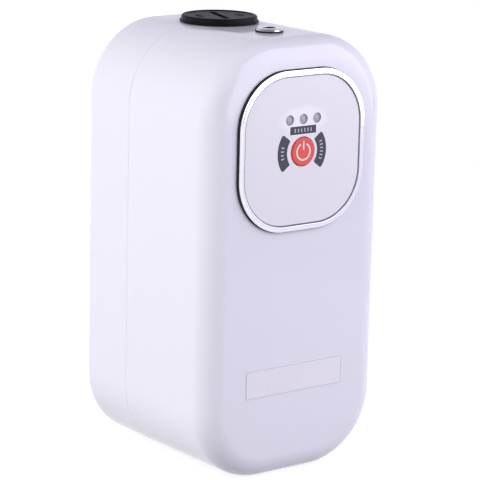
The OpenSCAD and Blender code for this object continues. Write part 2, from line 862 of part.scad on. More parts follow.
module bearing_carrier() {
  color([0.3, 0.31, 0.33]) difference() {
    union() {
      along_y(0, flange_y, motor_z) cylinder(h = carrier_t, r = carrier_r);
      along_y(0, carrier_bush_y, motor_z) cylinder(h = bush_len, r = shaft_r + run_fit + 2 * bush_wall);
    }
    along_y(0, carrier_bush_y - overrun, motor_z)
      cylinder(h = bush_len + overrun, r = shaft_r + run_fit + bush_wall);
    along_y(0, flange_y - overrun, motor_z) cylinder(h = carrier_t + 2 * overrun, r = shaft_r + body_gap);
  }
}

module rotor_can() {
  color([0.3, 0.31, 0.33]) {
    along_y(0, can_end_y, motor_z) cylinder(h = can_bush_y - can_end_y, r = can_r + can_wall);
    along_y(0, can_end_y, motor_z) ring(can_r + can_wall, can_r, flange_y - can_end_y);
    along_y(0, can_bush_y, motor_z)
      ring(shaft_r + run_fit + 2 * bush_wall, shaft_r + run_fit + bush_wall, bush_len);
    along_y(0, can_flange_y, motor_z) ring(can_flange_r, can_r, can_flange_t);
  }
}

module can_seal() {
  color(black) along_y(0, flange_y + can_seal_r, motor_z)
    rotate_extrude() translate([can_seal_ring_r, 0]) circle(can_seal_r);
}

module stator_core() {
  color([0.5, 0.51, 0.54]) along_y(0, stator_y, motor_z) linear_extrude(stator_len) {
    difference() {
      circle(stator_r);
      circle(stator_r - yoke_w);
    }
    for (i = [0:tooth_count - 1]) rotate(i * 360 / tooth_count) {
      translate([stator_in_r + tip_t / 2, -tooth_w / 2])
        square([stator_r - yoke_w / 2 - stator_in_r - tip_t / 2, tooth_w]);
      intersection() {
        difference() {
          circle(stator_in_r + tip_t);
          circle(stator_in_r);
        }
        translate([0, -(stator_in_r + tip_t) * tan(tip_angle / 2)])
          square([stator_in_r + tip_t, 2 * (stator_in_r + tip_t) * tan(tip_angle / 2)]);
      }
    }
  }
}

module stator_coils() {
  color(copper) along_y(0, stator_y, motor_z) for (i = [0:tooth_count - 1]) rotate(i * 360 / tooth_count)
    translate([stator_in_r + coil_in, 0, 0]) difference() {
      translate([0, -tooth_w / 2 - coil_t, -coil_t])
        cube([coil_len, tooth_w + 2 * coil_t, stator_len + 2 * coil_t]);
      translate([-overrun, -tooth_w / 2, 0]) cube([coil_len + 2 * overrun, tooth_w, stator_len]);
    }
}

module motor_housing() {
  color([0.3, 0.31, 0.33]) difference() {
    union() {
      along_y(0, housing_y, motor_z) cylinder(h = can_flange_y - housing_y, r = stator_r + housing_wall);
      along_y(0, can_flange_y - housing_flange_t, motor_z) cylinder(h = housing_flange_t, r = pump_r);
      at_lugs(can_flange_y - housing_flange_t) cylinder(h = housing_flange_t, r = lug_r);
    }
    along_y(0, housing_y + housing_wall, motor_z) cylinder(h = can_flange_y - housing_y, r = stator_r);
    at_lugs(can_flange_y - housing_flange_t - overrun)
      cylinder(h = housing_flange_t + 2 * overrun, r = motor_screw_r + run_fit);
    along_y(0, housing_y - overrun, motor_z + grommet_rise)
      cylinder(h = housing_wall + 2 * overrun, r = grommet_r);
  }
}

module motor_screws() {
  color(steel) at_lugs(can_flange_y - housing_flange_t) mirror([0, 0, 1])
    screw(motor_screw_r, motor_screw_len, motor_screw_head_r, motor_screw_head_h);
}

module lead_grommet() {
  color(black) along_y(0, housing_y - grommet_lip, motor_z + grommet_rise) {
    ring(grommet_r + grommet_lip, lead_r, grommet_lip);
    ring(grommet_r, lead_r, housing_wall + grommet_lip);
  }
}

module flow_poppet() {
  color([0.85, 0.85, 0.8]) translate([0, port_y, poppet_z]) {
    cylinder(h = poppet_t, r = poppet_r);
    cylinder(h = stem_len, r = stem_r);
  }
}

module poppet_magnet() {
  color([0.3, 0.3, 0.33]) translate([0, port_y, poppet_z + poppet_t])
    ring(sensor_magnet_r, stem_r, sensor_magnet_len);
}

// Helix of round wire: the section's centre climbs at a steady rate
spring_steps = 16;
wire_sides = 6;
function coil_point(i, j) =
  let (a = 360 * i / spring_steps, t = i / (spring_steps * spring_turns), b = 360 * j / wire_sides,
    r = spring_r + spring_wire_r * cos(b))
  [r * cos(a), r * sin(a), spring_z0 + t * (spring_z1 - spring_z0) + spring_wire_r * sin(b)];

module poppet_spring() {
  n = spring_steps * spring_turns;
  points = [for (i = [0:n], j = [0:wire_sides - 1]) coil_point(i, j)];
  sides = [for (i = [0:n - 1], j = [0:wire_sides - 1])
    let (k = (j + 1) % wire_sides, a = i * wire_sides, b = a + wire_sides)
    each [[a + j, b + j, b + k], [a + j, b + k, a + k]]];
  low_end = [for (j = [1:wire_sides - 2]) [0, j, j + 1]];
  high_end = [for (j = [1:wire_sides - 2]) [n * wire_sides, n * wire_sides + j + 1, n * wire_sides + j]];
  color(steel) translate([0, port_y, 0]) polyhedron(points, concat(sides, low_end, high_end));
}

module poppet_guide() {
  color([0.85, 0.85, 0.8]) translate([0, port_y, guide_z]) linear_extrude(guide_t) difference() {
    union() {
      difference() {
        circle(bore_r);
        circle(bore_r - guide_rim_w);
      }
      circle(guide_hub_r);
      for (a = [0:120:240]) rotate(a)
        translate([0, -guide_spoke_w / 2]) square([bore_r - guide_rim_w / 2, guide_spoke_w]);
    }
    circle(stem_r + run_fit);
  }
}

module reed_switch() {
  color(black) difference() {
    translate([-reed_w / 2, port_y - tube_r - reed_d, reed_z]) cube([reed_w, 2 * reed_d, reed_h]);
    translate([0, port_y, reed_z - overrun]) cylinder(h = reed_h + 2 * overrun, r = tube_r);
  }
}

module jack_lead() {
  header = on_board(jack_header_shares, board_back_y + header_d);
  start = [0, jack_y, jack_end_z - 2 * jack_tail_len];
  color(black)
    lead([start, start - [0, 0, header_h], [header[0], header[1] + header_d, header[2]], header], lead_r);
}

module motor_lead() {
  header = on_board(motor_header_shares, board_back_y + header_d);
  start = [0, housing_y + housing_wall, motor_z + grommet_rise];
  turn_y = (front_y + wall + housing_y - grommet_lip) / 2;
  rise_z = motor_z + pump_r + 2 * lead_r;
  color(black) lead([start, [0, turn_y, start[2]], [0, turn_y, rise_z],
    [header[0], header[1] + header_d, rise_z], [header[0], header[1] + header_d, header[2]], header], lead_r);
}

module sensor_lead() {
  header = on_board(sensor_header_shares, board_back_y + header_d);
  start = [0, port_y - tube_r - reed_d / 2, reed_z + reed_h];
  color(black)
    lead([start, start + [0, 0, header_h], [header[0], header[1] + header_d, header[2]], header], lead_r);
}

front_cover();
rear_cover();
seam_gaskets();
case_screws();
port_collars();
front_label();
bezel_ring();
control_panel();
panel_label();
power_button();
switch_plunger();
button_switch();
indicator_lens();
indicator_leds();
controller_board();
driver_chips();
board_capacitor();
lead_headers();
board_screws();
jack_body();
jack_washer();
jack_nut();
jack_insulator();
jack_pin();
port_plug();
plug_seal();
pump_body();
outlet_insert();
inlet_insert();
inlet_strainer();
impeller();
rotor_magnet();
rotor_shaft();
can_bush();
carrier_bush();
thrust_washers();
bearing_carrier();
rotor_can();
can_seal();
stator_core();
stator_coils();
motor_housing();
motor_screws();
lead_grommet();
flow_poppet();
poppet_magnet();
poppet_spring();
poppet_guide();
reed_switch();
jack_lead();
motor_lead();
sensor_lead();
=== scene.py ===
import json
from math import atan2, cos, pi, radians, sin, tan, tau

import bmesh
import bpy
from mathutils import Matrix, Vector

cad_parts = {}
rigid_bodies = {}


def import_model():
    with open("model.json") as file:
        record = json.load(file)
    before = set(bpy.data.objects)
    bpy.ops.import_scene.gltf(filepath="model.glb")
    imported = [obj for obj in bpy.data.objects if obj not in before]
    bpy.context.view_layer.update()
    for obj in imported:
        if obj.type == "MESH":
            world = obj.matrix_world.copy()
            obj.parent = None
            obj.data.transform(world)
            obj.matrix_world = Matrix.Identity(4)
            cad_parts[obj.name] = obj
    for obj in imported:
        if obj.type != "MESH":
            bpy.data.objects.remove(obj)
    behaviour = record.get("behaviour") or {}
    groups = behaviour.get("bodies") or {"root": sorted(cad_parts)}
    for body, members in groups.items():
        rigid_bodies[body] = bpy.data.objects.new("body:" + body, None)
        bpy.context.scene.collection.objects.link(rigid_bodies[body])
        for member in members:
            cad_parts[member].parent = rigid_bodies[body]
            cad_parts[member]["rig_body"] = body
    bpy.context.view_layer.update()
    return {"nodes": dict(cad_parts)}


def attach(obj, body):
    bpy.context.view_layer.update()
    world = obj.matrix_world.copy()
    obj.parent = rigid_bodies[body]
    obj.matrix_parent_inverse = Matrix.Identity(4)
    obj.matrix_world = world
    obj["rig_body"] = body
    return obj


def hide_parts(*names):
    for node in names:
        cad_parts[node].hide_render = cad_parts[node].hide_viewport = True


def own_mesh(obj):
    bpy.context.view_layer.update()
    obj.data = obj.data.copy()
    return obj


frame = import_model()
print("frame loaded")

mm = 0.001
scene = bpy.context.scene

# Camera: the photograph's view, from in front, left and a little above
cameraSetup = {
    "place": (-611.138, -802.158, 327.531),
    "forward": (0.590086, 0.775492, -0.224521),
    "roll": 1.302,
    "lens": 176.57,
    "sensor": 36,
    "shiftX": 0.01598,
}


def addCamera(setup):
    forward = Vector(setup["forward"]).normalized()
    right = forward.cross((0, 0, 1)).normalized()
    up = right.cross(forward)
    turn = radians(setup["roll"])
    rolledRight = right * cos(turn) + up * sin(turn)
    rolledUp = up * cos(turn) - right * sin(turn)
    camera = bpy.data.cameras.new("photoCamera")
    camera.sensor_width = setup["sensor"]
    camera.lens = setup["lens"]
    camera.shift_x = setup["shiftX"]
    camera.clip_start, camera.clip_end = 0.05, 20
    holder = bpy.data.objects.new("photoCamera", camera)
    axes = Matrix((rolledRight, rolledUp, -forward)).transposed().to_4x4()
    holder.matrix_world = Matrix.Translation(Vector(setup["place"]) * mm) @ axes
    scene.collection.objects.link(holder)
    scene.camera = holder


addCamera(cameraSetup)


# Small tools for nodes and colours
def hexColour(code):
    parts = [int(code[i:i + 2], 16) / 255 for i in (0, 2, 4)]
    return tuple(c / 12.92 if c < 0.04045 else ((c + 0.055) / 1.055) ** 2.4 for c in parts) + (1,)


def addNode(tree, kind, settings=None, links=None):
    node = tree.nodes.new(kind)
    for key, value in (settings or {}).items():
        setattr(node, key, value)
    for socket, value in (links or {}).items():
        if isinstance(value, bpy.types.NodeSocket):
            tree.links.new(value, node.inputs[socket])
        else:
            node.inputs[socket].default_value = value
    return node


# One finish: a Principled surface whose colour, gloss and relief vary at the scale of the real grain.
# Lengths in a recipe are millimetres
def makeFinish(name, colour, second=None, rough=0.4, roughSpread=0.05, grain=0.6, depth=0.01,
               stretch=(1, 1, 1), wave=None, waveDepth=0.0, mix=0.5, sockets=None):
    material = bpy.data.materials.new(name)
    material.use_nodes = True
    tree = material.node_tree
    tree.nodes.clear()
    place = addNode(tree, "ShaderNodeTexCoord").outputs["Object"]
    mapped = addNode(tree, "ShaderNodeMapping", links={"Vector": place, "Scale": stretch}).outputs["Vector"]
    fine = addNode(tree, "ShaderNodeTexNoise",
                   links={"Vector": mapped, "Scale": 1 / (grain * mm), "Detail": 4}).outputs[0]
    gloss = addNode(tree, "ShaderNodeMapRange",
                    links={"Value": fine, "From Min": 0.3, "From Max": 0.7,
                           "To Min": max(rough - roughSpread, 0.02),
                           "To Max": rough + roughSpread}).outputs[0]
    relief = addNode(tree, "ShaderNodeBump", links={"Height": fine, "Strength": 1, "Distance": depth * mm})
    if wave:
        broad = addNode(tree, "ShaderNodeTexNoise",
                        links={"Vector": place, "Scale": 1 / (wave * mm), "Detail": 1}).outputs[0]
        relief = addNode(tree, "ShaderNodeBump",
                         links={"Height": broad, "Strength": 1, "Distance": waveDepth * mm,
                                "Normal": relief.outputs[0]})
    surface = addNode(tree, "ShaderNodeBsdfPrincipled",
                      links={"Roughness": gloss, "Normal": relief.outputs[0], **(sockets or {})})
    if second:
        share = addNode(tree, "ShaderNodeMapRange", links={"Value": fine, "From Min": 0.35, "From Max": 0.65,
                                                           "To Min": 0, "To Max": mix}).outputs[0]
        blend = addNode(tree, "ShaderNodeMix", {"data_type": "RGBA"},
                        {"Factor": share, "A": hexColour(colour), "B": hexColour(second)})
        tree.links.new(blend.outputs["Result"], surface.inputs["Base Color"])
    else:
        surface.inputs["Base Color"].default_value = hexColour(colour)
    addNode(tree, "ShaderNodeOutputMaterial", links={"Surface": surface.outputs[0]})
    return material


# Casing: injection-moulded ABS from a polished mould, so a mirror with the faintest long waviness
glossAbs = makeFinish("mouldedGlossAbs", "EDEBF3", "EBE9F1", rough=0.12, roughSpread=0.02, grain=1.2,
                      depth=0.0006, wave=22, waveDepth=0.01,
                      sockets={"IOR": 1.5, "Coat Weight": 0.15, "Coat Roughness": 0.04})
# Control panel plate: the same ABS with a satin texture from the mould
satinAbs = makeFinish("mouldedSatinAbs", "E6E4EF", "E3E1EC", rough=0.38, grain=0.25, depth=0.008)
# Seals and collars: moulded EPDM rubber, matt with a slight bloom
epdmRubber = makeFinish("mouldedEpdmRubber", "101012", "19191B", rough=0.62, grain=0.35, depth=0.02)
# Screws and the jack's nut: zinc-plated steel, fine and slightly cloudy
zincSteel = makeFinish("zincPlatedSteel", "C2C4C8", "AEB0B6", rough=0.3, grain=0.5, depth=0.004,
                       sockets={"Metallic": 1})
# Bezel ring and jack: bright chrome plating on plastic, nearly a clean mirror
brightChrome = makeFinish("brightChromePlating", "F6F6F8", "F2F2F5", rough=0.06, roughSpread=0.02, grain=1.5,
                          depth=0.0005, sockets={"Metallic": 1})
# Sticker: clear polypropylene film, cast smooth
clearFilm = makeFinish("castClearFilm", "F1EFF5", "EDEBF2", rough=0.16, roughSpread=0.03, grain=2.0,
                       depth=0.002, sockets={"IOR": 1.46})
filmEdge = makeFinish("castClearFilmEdge", "D8D6E0", "D3D1DC", rough=0.25, grain=2.0, depth=0.002,
                      sockets={"IOR": 1.46})
# Power button: ABS moulded in red, softly polished by fingers
redAbs = makeFinish("mouldedRedAbs", "E8503F", "E24A3A", rough=0.34, roughSpread=0.06, grain=0.4, depth=0.004,
                    sockets={"IOR": 1.5})
# Printed ink: screen-printed vinyl ink with a dry, slightly uneven film
navyInk = makeFinish("screenPrintedNavyInk", "24243A", "2C2C42", rough=0.42, grain=0.3, depth=0.004)
whiteInk = makeFinish("screenPrintedWhiteInk", "F3E9EC", "EDE2E6", rough=0.4, grain=0.3, depth=0.004)
# The grey is painted shade: a thin line round the overlay where it meets the ring's inner edge
gapShadeGrey = makeFinish("paintedGapShadeGrey", "6E6D77", "67666F", rough=0.42, grain=0.3, depth=0.004)
paleInk = makeFinish("screenPrintedPaleInk", "B9B9CC", "ADADC2", rough=0.42, grain=0.3, depth=0.004)
# Light pipes: moulded acrylic with a smoky tint
lightPipe = makeFinish("mouldedSmokyAcrylic", "B9B5BC", "ADA9B1", rough=0.2, grain=0.5, depth=0.003,
                       sockets={"IOR": 1.49})
# Plug: glass-filled polypropylene, dull black with a mottled skin
filledPolypropylene = makeFinish("mouldedGlassFilledPolypropylene", "131214", "181719", rough=0.42,
                                 roughSpread=0.08, grain=0.45, depth=0.02,
                                 sockets={"Specular IOR Level": 0.1})
# Pump body and motor parts: glass-filled nylon, darker and drier
filledNylon = makeFinish("mouldedGlassFilledNylon", "3A3B3F", "46474B", rough=0.5, roughSpread=0.1, grain=0.4,
                         depth=0.02)
# Small black parts: ABS with a fine moulded texture
blackAbs = makeFinish("mouldedBlackAbs", "232325", "2B2B2D", rough=0.36, grain=0.3, depth=0.006)
# Inserts: turned brass, with rings left by the tool
turnedBrass = makeFinish("turnedBrass", "C9A75C", "B8954B", rough=0.24, roughSpread=0.08, grain=0.5,
                         stretch=(0.1, 0.1, 2.5), depth=0.006, sockets={"Metallic": 1})
# Impeller and poppet: white acetal, waxy and plain
whiteAcetal = makeFinish("mouldedWhiteAcetal", "E2DFD6", "D9D6CC", rough=0.4, grain=0.4, depth=0.006)
# Magnets: sintered ferrite, ground dull grey
sinteredFerrite = makeFinish("sinteredFerrite", "4A4A4E", "3D3D42", rough=0.55, grain=0.25, depth=0.02)
# Bushes: pressed carbon graphite, dark with a low sheen
carbonGraphite = makeFinish("pressedCarbonGraphite", "38383B", "2E2E31", rough=0.45, grain=0.2, depth=0.015)
# Stator core: stacked electrical steel, half a millimetre a sheet, drawn as fine bands
stackedSteel = makeFinish("stackedElectricalSteel", "85878C", "6A6C72", rough=0.4, grain=0.5,
                          stretch=(0.05, 1, 0.05), depth=0.05, mix=0.9, sockets={"Metallic": 0.9})
# Coils: enamelled copper wire laid side by side, drawn as fine bands
enamelledCopper = makeFinish("enamelledCopperWinding", "B5682F", "8F4A1E", rough=0.28, grain=0.45,
                             stretch=(1.2, 0.05, 1.2), depth=0.08, mix=0.9,
                             sockets={"Metallic": 0.85, "Coat Weight": 0.4})
# Board: glass-epoxy laminate under green solder mask
solderMask = makeFinish("greenSolderMask", "1F5A38", "2A6B45", rough=0.3, grain=1.6, depth=0.03, mix=0.8)
# Small parts on the board: yellowish lamp resin, shrunk sleeve, natural nylon, and PVC round the leads
ledResin = makeFinish("ledPackageResin", "EFEBD2", "E6E1C6", rough=0.35, grain=0.3, depth=0.004)
capSleeve = makeFinish("shrunkCapacitorSleeve", "2C3350", "353D5C", rough=0.3, grain=0.8, depth=0.006)
headerNylon = makeFinish("mouldedNaturalNylon", "EAE4D2", "E0D9C5", rough=0.42, grain=0.4, depth=0.006)
leadPvc = makeFinish("extrudedLeadPvc", "1E1E20", "262628", rough=0.42, grain=0.5, depth=0.006)


# Printed overlay: polycarbonate film printed pale lilac from behind, with a lighter patch round the lights
overlayPrint = {"colour": "ECEAEE", "patch": "F6F5F9", "patchCentre": (0.2, 156.0), "patchHalf": (13.5, 6.5)}


def makeOverlay(p):
    material = makeFinish("reversePrintedPolycarbonate", p["colour"], rough=0.24, roughSpread=0.03, grain=0.5,
                          depth=0.002, wave=14, waveDepth=0.006, sockets={"IOR": 1.58})
    tree = material.node_tree
    surface = next(n for n in tree.nodes if n.bl_idname == "ShaderNodeBsdfPrincipled")
    x, z = p["patchCentre"]
    w, h = p["patchHalf"]
    place = addNode(tree, "ShaderNodeTexCoord").outputs["Object"]
    centred = addNode(tree, "ShaderNodeVectorMath", {"operation": "SUBTRACT"},
                      {0: place, 1: (x * mm, 0, z * mm)})
    scaled = addNode(tree, "ShaderNodeVectorMath", {"operation": "MULTIPLY"},
                     {0: centred.outputs[0], 1: (1 / (w * mm), 0, 1 / (h * mm))})
    far = addNode(tree, "ShaderNodeVectorMath", {"operation": "LENGTH"},
                  {0: scaled.outputs[0]}).outputs["Value"]
    share = addNode(tree, "ShaderNodeMapRange", {"interpolation_type": "SMOOTHSTEP"},
                    {"Value": far, "From Min": 0.6, "From Max": 1.1, "To Min": 1, "To Max": 0}).outputs[0]
    blend = addNode(tree, "ShaderNodeMix", {"data_type": "RGBA"},
                    {"Factor": share, "A": hexColour(p["colour"]), "B": hexColour(p["patch"])})
    tree.links.new(blend.outputs["Result"], surface.inputs["Base Color"])
    return material


printedOverlay = makeOverlay(overlayPrint)
print("finishes made")


# Small tools for meshes. Profiles and places are in millimetres
def softened(points, steps=5):
    made = []
    for i, point in enumerate(points):
        here = Vector(point[:2])
        if len(point) == 2 or i in (0, len(points) - 1):  # a third number rounds a corner by so much
            made.append(here)
            continue
        a = (Vector(points[i - 1][:2]) - here).normalized()
        b = (Vector(points[i + 1][:2]) - here).normalized()
        half = a.angle(b) / 2
        centre = here + (a + b).normalized() * point[2] / sin(half)
        start, end = here + a * point[2] / tan(half) - centre, here + b * point[2] / tan(half) - centre
        angle = atan2(start.y, start.x)
        sweep = (atan2(end.y, end.x) - angle + pi) % tau - pi
        made += [centre + Vector((cos(angle + sweep * k / steps), sin(angle + sweep * k / steps))) * point[2]
                 for k in range(steps + 1)]
    return [tuple(p) for p in made]


def cleaned(bm):
    bmesh.ops.remove_doubles(bm, verts=bm.verts, dist=2e-6)
    bmesh.ops.recalc_face_normals(bm, faces=bm.faces)
    return bm


def lathe(points, place=(0, 0, 0), steps=96, alongY=False):
    bm = bmesh.new()
    verts = [bm.verts.new((r * mm, 0, h * mm)) for r, h in points]
    edges = [bm.edges.new(pair) for pair in zip(verts, verts[1:])]
    bmesh.ops.spin(bm, geom=verts + edges, cent=(0, 0, 0), axis=(0, 0, 1), angle=tau, steps=steps,
                   use_merge=True)
    if alongY:
        bmesh.ops.rotate(bm, verts=bm.verts, cent=(0, 0, 0), matrix=Matrix.Rotation(-pi / 2, 3, "X"))
    bmesh.ops.translate(bm, verts=bm.verts, vec=Vector(place) * mm)
    return cleaned(bm)


def sweepRound(points, halfW, halfH, zMid, steps=16):
    # Sweeps a profile of (distance from the corner centres, y) round a rounded rectangle that faces the front
    bm = bmesh.new()
    verts = [bm.verts.new(((halfW + r) * mm, y * mm, (zMid - halfH) * mm)) for r, y in points]
    last = [bm.edges.new(pair) for pair in zip(verts, verts[1:])]
    corners = [(1, 1, 0, 2), (-1, 1, -2, 0), (-1, -1, 0, -2), (1, -1, 2, 0)]
    for sideX, sideZ, runX, runZ in corners:
        made = bmesh.ops.extrude_edge_only(bm, edges=last)["geom"]
        moved = [v for v in made if isinstance(v, bmesh.types.BMVert)]
        bmesh.ops.translate(bm, verts=moved, vec=(runX * halfW * mm, 0, runZ * halfH * mm))
        last = [e for e in made if isinstance(e, bmesh.types.BMEdge) and all(v in moved for v in e.verts)]
        centre = (sideX * halfW * mm, 0, (zMid + sideZ * halfH) * mm)
        made = bmesh.ops.spin(bm, geom=moved + last, cent=centre, axis=(0, -1, 0), angle=pi / 2, steps=steps)
        last = [e for e in made["geom_last"] if isinstance(e, bmesh.types.BMEdge)]
    return cleaned(bm)


def capEnds(bm, *planes):
    # Closes the open loop that lies in each plane y
    for y in planes:
        loop = [e for e in bm.edges if e.is_boundary and all(abs(v.co.y - y * mm) < 1e-6 for v in e.verts)]
        bmesh.ops.contextual_create(bm, geom=loop)
    return cleaned(bm)


def joined(*meshes):
    whole = bmesh.new()
    for bm in meshes:
        mesh = bpy.data.meshes.new("joining")
        bm.to_mesh(mesh)
        whole.from_mesh(mesh)
        bm.free()
        bpy.data.meshes.remove(mesh)
    return whole


def rod(x, z, y0, y1, radius, steps=48):
    return lathe([(0, 0), (radius, 0), (radius, y1 - y0), (0, y1 - y0)], (x, y0, z), steps, alongY=True)


def post(x, y, z0, z1, radius, steps=96):
    return lathe([(0, 0), (radius, 0), (radius, z1 - z0), (0, z1 - z0)], (x, y, z0), steps)


def slab(low, high):
    bm = bmesh.new()
    bmesh.ops.create_cube(bm, size=1)
    size = [b - a for a, b in zip(low, high)]
    bmesh.ops.scale(bm, verts=bm.verts, vec=Vector(size) * mm)
    bmesh.ops.translate(bm, verts=bm.verts, vec=(Vector(low) + Vector(high)) / 2 * mm)
    return bm


def carved(bm, tool, mode="DIFFERENCE"):
    objects = []
    for name, source in (("carvedBody", bm), ("carvingTool", tool)):
        mesh = bpy.data.meshes.new(name)
        source.to_mesh(mesh)
        source.free()
        holder = bpy.data.objects.new(name, mesh)
        scene.collection.objects.link(holder)
        objects.append(holder)
    cut = objects[0].modifiers.new("cut", "BOOLEAN")
    cut.object = objects[1]
    cut.operation = mode
    cut.solver = "EXACT"
    cut.use_self = mode == "UNION"
    bpy.context.view_layer.update()
    result = objects[0].evaluated_get(bpy.context.evaluated_depsgraph_get())
    made = bmesh.new()
    made.from_mesh(result.to_mesh())
    result.to_mesh_clear()
    for holder in objects:
        mesh = holder.data
        bpy.data.objects.remove(holder)
        bpy.data.meshes.remove(mesh)
    bmesh.ops.remove_doubles(made, verts=made.verts, dist=1e-6)
    return made


def finishPiece(name, bm, body, material, nodes=(), angle=32):
    for face in bm.faces:
        face.smooth = True
    mesh = bpy.data.meshes.new(name)
    bm.to_mesh(mesh)
    bm.free()
    mesh.set_sharp_from_angle(angle=radians(angle))
    mesh.materials.append(material)
    piece = bpy.data.objects.new(name, mesh)
    scene.collection.objects.link(piece)
    if len(mesh.polygons) < 60000:
        piece.modifiers.new("weightedNormals", "WEIGHTED_NORMAL").keep_sharp = True
    if nodes:
        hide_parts(*nodes)
    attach(piece, body)
    return piece


# Casing: two shells that meet in a seam round the sides, with a tongue inside the lip. Screws from the back
# reach bosses in the front shell, each stiffened by a web to the side wall
casing = {"halfW": 14, "halfH": 62, "zMid": 95, "outer": 33, "wall": 2.5, "frontY": -45, "backY": 47,
          "seamY": 14, "frontR": 10, "backR": 5, "seamChamfer": 0.22, "lip": 31.8, "lipDepth": 3,
          "tongue": 31.6, "tongueY": 11.8, "capGap": 0.01, "portR": 16.6, "portSpans": ((-2, 8), (182, 192)),
          "screwX": 36, "screwZ": (34, 156), "wellR": 4.2, "wellWall": 1.4, "wellFloorY": 20, "tubeSink": 1,
          "clearR": 2.1, "overrun": 2, "bossR": 4.4, "bossY": -20, "bossGap": 0.5, "boreY": (-7, 16),
          "boreR": 1.95, "webX": (38, 46), "webHalf": 1, "webGap": 3.2}
# The recess for the panel, the thicker pad behind it, the board's posts and the jack's hole
pocket = {"halfW": 9, "halfH": 10, "zMid": 143, "r": 24.1, "floorY": -43.4, "padR": 27.5, "padY": -41,
          "windowLow": (-13.5, -46, 132.5), "windowHigh": (13.5, -40, 161.5), "postX": 24.5, "postZ": 26.5,
          "postR": 3.2, "postSink": 2, "postEndY": -36, "jackY": -21.5, "jackR": 4.05, "jackSpan": (180, 192)}


def screwPlaces(c):
    return [(side * c["screwX"], z) for side in (-1, 1) for z in c["screwZ"]]


def portHoles(c):
    return [post(0, c["seamY"], low, high, c["portR"]) for low, high in c["portSpans"]]


def screwWeb(c, side, z):
    near, far = sorted(side * x for x in c["webX"])
    return slab((near, c["bossY"], z - c["webHalf"]), (far, c["seamY"] - c["webGap"], z + c["webHalf"]))


def centrePocket(bm, c, p):
    # The recess and the pad are swept with the casing, then moved to the panel's own corner centres
    for v in bm.verts:
        sideX = 1 if v.co.x > 0 else -1
        sideZ = 1 if v.co.z > c["zMid"] * mm else -1
        centre = Vector((sideX * c["halfW"], c["zMid"] + sideZ * c["halfH"])) * mm
        away = (Vector((v.co.x, v.co.z)) - centre).length / mm
        y = v.co.y / mm
        onRecess = abs(away - p["r"]) < 0.01
        onPad = abs(away - p["padR"]) < 0.01
        if y < p["padY"] + 0.1 and (onPad or onRecess and y <= p["floorY"] + 0.1):
            v.co.x += sideX * (p["halfW"] - c["halfW"]) * mm
            v.co.z += (p["zMid"] + sideZ * p["halfH"] - c["zMid"] - sideZ * c["halfH"]) * mm


def makeFrontCover(c, p):
    inside = c["outer"] - c["wall"]
    flat = c["outer"] - c["frontR"]
    lipY = c["seamY"] - c["lipDepth"]
    innerY = c["frontY"] + c["wall"]
    points = softened([(p["r"], p["floorY"]), (p["r"], c["frontY"]), (flat, c["frontY"]),
                       (c["outer"], c["frontY"], c["frontR"]),
                       (c["outer"], c["seamY"] - c["seamChamfer"]),
                       (c["outer"] - c["seamChamfer"], c["seamY"]),
                       (c["lip"], c["seamY"]), (c["lip"], lipY), (inside, lipY),
                       (inside, innerY, c["frontR"] - c["wall"]), (flat, innerY), (p["padR"], innerY),
                       (p["padR"], p["padY"])], 14)
    bm = sweepRound(points, c["halfW"], c["halfH"], c["zMid"], 24)
    centrePocket(bm, c, p)
    capEnds(bm, p["floorY"], p["padY"])
    extras = [rod(x, z, c["bossY"], c["seamY"] - c["bossGap"], c["bossR"]) for x, z in screwPlaces(c)]
    extras += [rod(sideX * p["postX"], p["zMid"] + sideZ * p["postZ"], c["frontY"] + p["postSink"],
                   p["postEndY"], p["postR"]) for sideX in (-1, 1) for sideZ in (-1, 1)]
    extras += [screwWeb(c, side, z) for side in (-1, 1) for z in c["screwZ"]]
    bm = carved(bm, joined(*extras), "UNION")
    jackLow, jackHigh = p["jackSpan"]
    boreLow, boreHigh = c["boreY"]
    holes = [slab(p["windowLow"], p["windowHigh"]), post(0, p["jackY"], jackLow, jackHigh, p["jackR"], 48)]
    holes += portHoles(c)
    holes += [rod(x, z, boreLow, boreHigh, c["boreR"], 24) for x, z in screwPlaces(c)]
    bm = carved(bm, joined(*holes))
    finishPiece("frontCover", bm, "casing", glossAbs, ["front_cover"], 28)


def makeRearCover(c):
    inside = c["outer"] - c["wall"]
    flat = c["outer"] - c["backR"]
    innerY = c["backY"] - c["wall"]
    points = softened([(flat, c["backY"]), (c["outer"], c["backY"], c["backR"]),
                       (c["outer"], c["seamY"] + c["seamChamfer"]),
                       (c["outer"] - c["seamChamfer"], c["seamY"]),
                       (c["tongue"], c["seamY"]), (c["tongue"], c["tongueY"]), (inside, c["tongueY"]),
                       (inside, innerY, c["backR"] - c["wall"]), (flat - c["capGap"], innerY)], 10)
    bm = sweepRound(points, c["halfW"], c["halfH"], c["zMid"], 24)
    capEnds(bm, c["backY"], innerY)
    tubes = [rod(x, z, c["seamY"], c["backY"] - c["tubeSink"], c["wellR"] + c["wellWall"])
             for x, z in screwPlaces(c)]
    bm = carved(bm, joined(*tubes), "UNION")
    holes = [rod(x, z, c["wellFloorY"], c["backY"] + c["overrun"], c["wellR"]) for x, z in screwPlaces(c)]
    holes += [rod(x, z, c["seamY"] - c["overrun"], c["wellFloorY"] + c["overrun"], c["clearR"], 24)
              for x, z in screwPlaces(c)]
    holes += portHoles(c)
    bm = carved(bm, joined(*holes))
    finishPiece("rearCover", bm, "casing", glossAbs, ["rear_cover"], 28)


makeFrontCover(casing, pocket)
makeRearCover(casing)
print("covers made")

# Bezel ring: flat bright face with a lower lip round it, on a black rubber seal that shows as a dark line
bezel = {"halfW": 9, "halfH": 10, "zMid": 143, "inner": 22, "face": 23.35, "stepW": 0.12, "lip": 24.2,
         "flare": 0.04, "neck": 24.05, "skirt": 23.9, "faceY": -47, "lipY": -46.6, "sealY": -46.4,
         "casingY": -45, "floorY": -43.4, "round": 0.15, "lipRound": 0.12, "sealR": 24.65, "sealTop": 24.4}


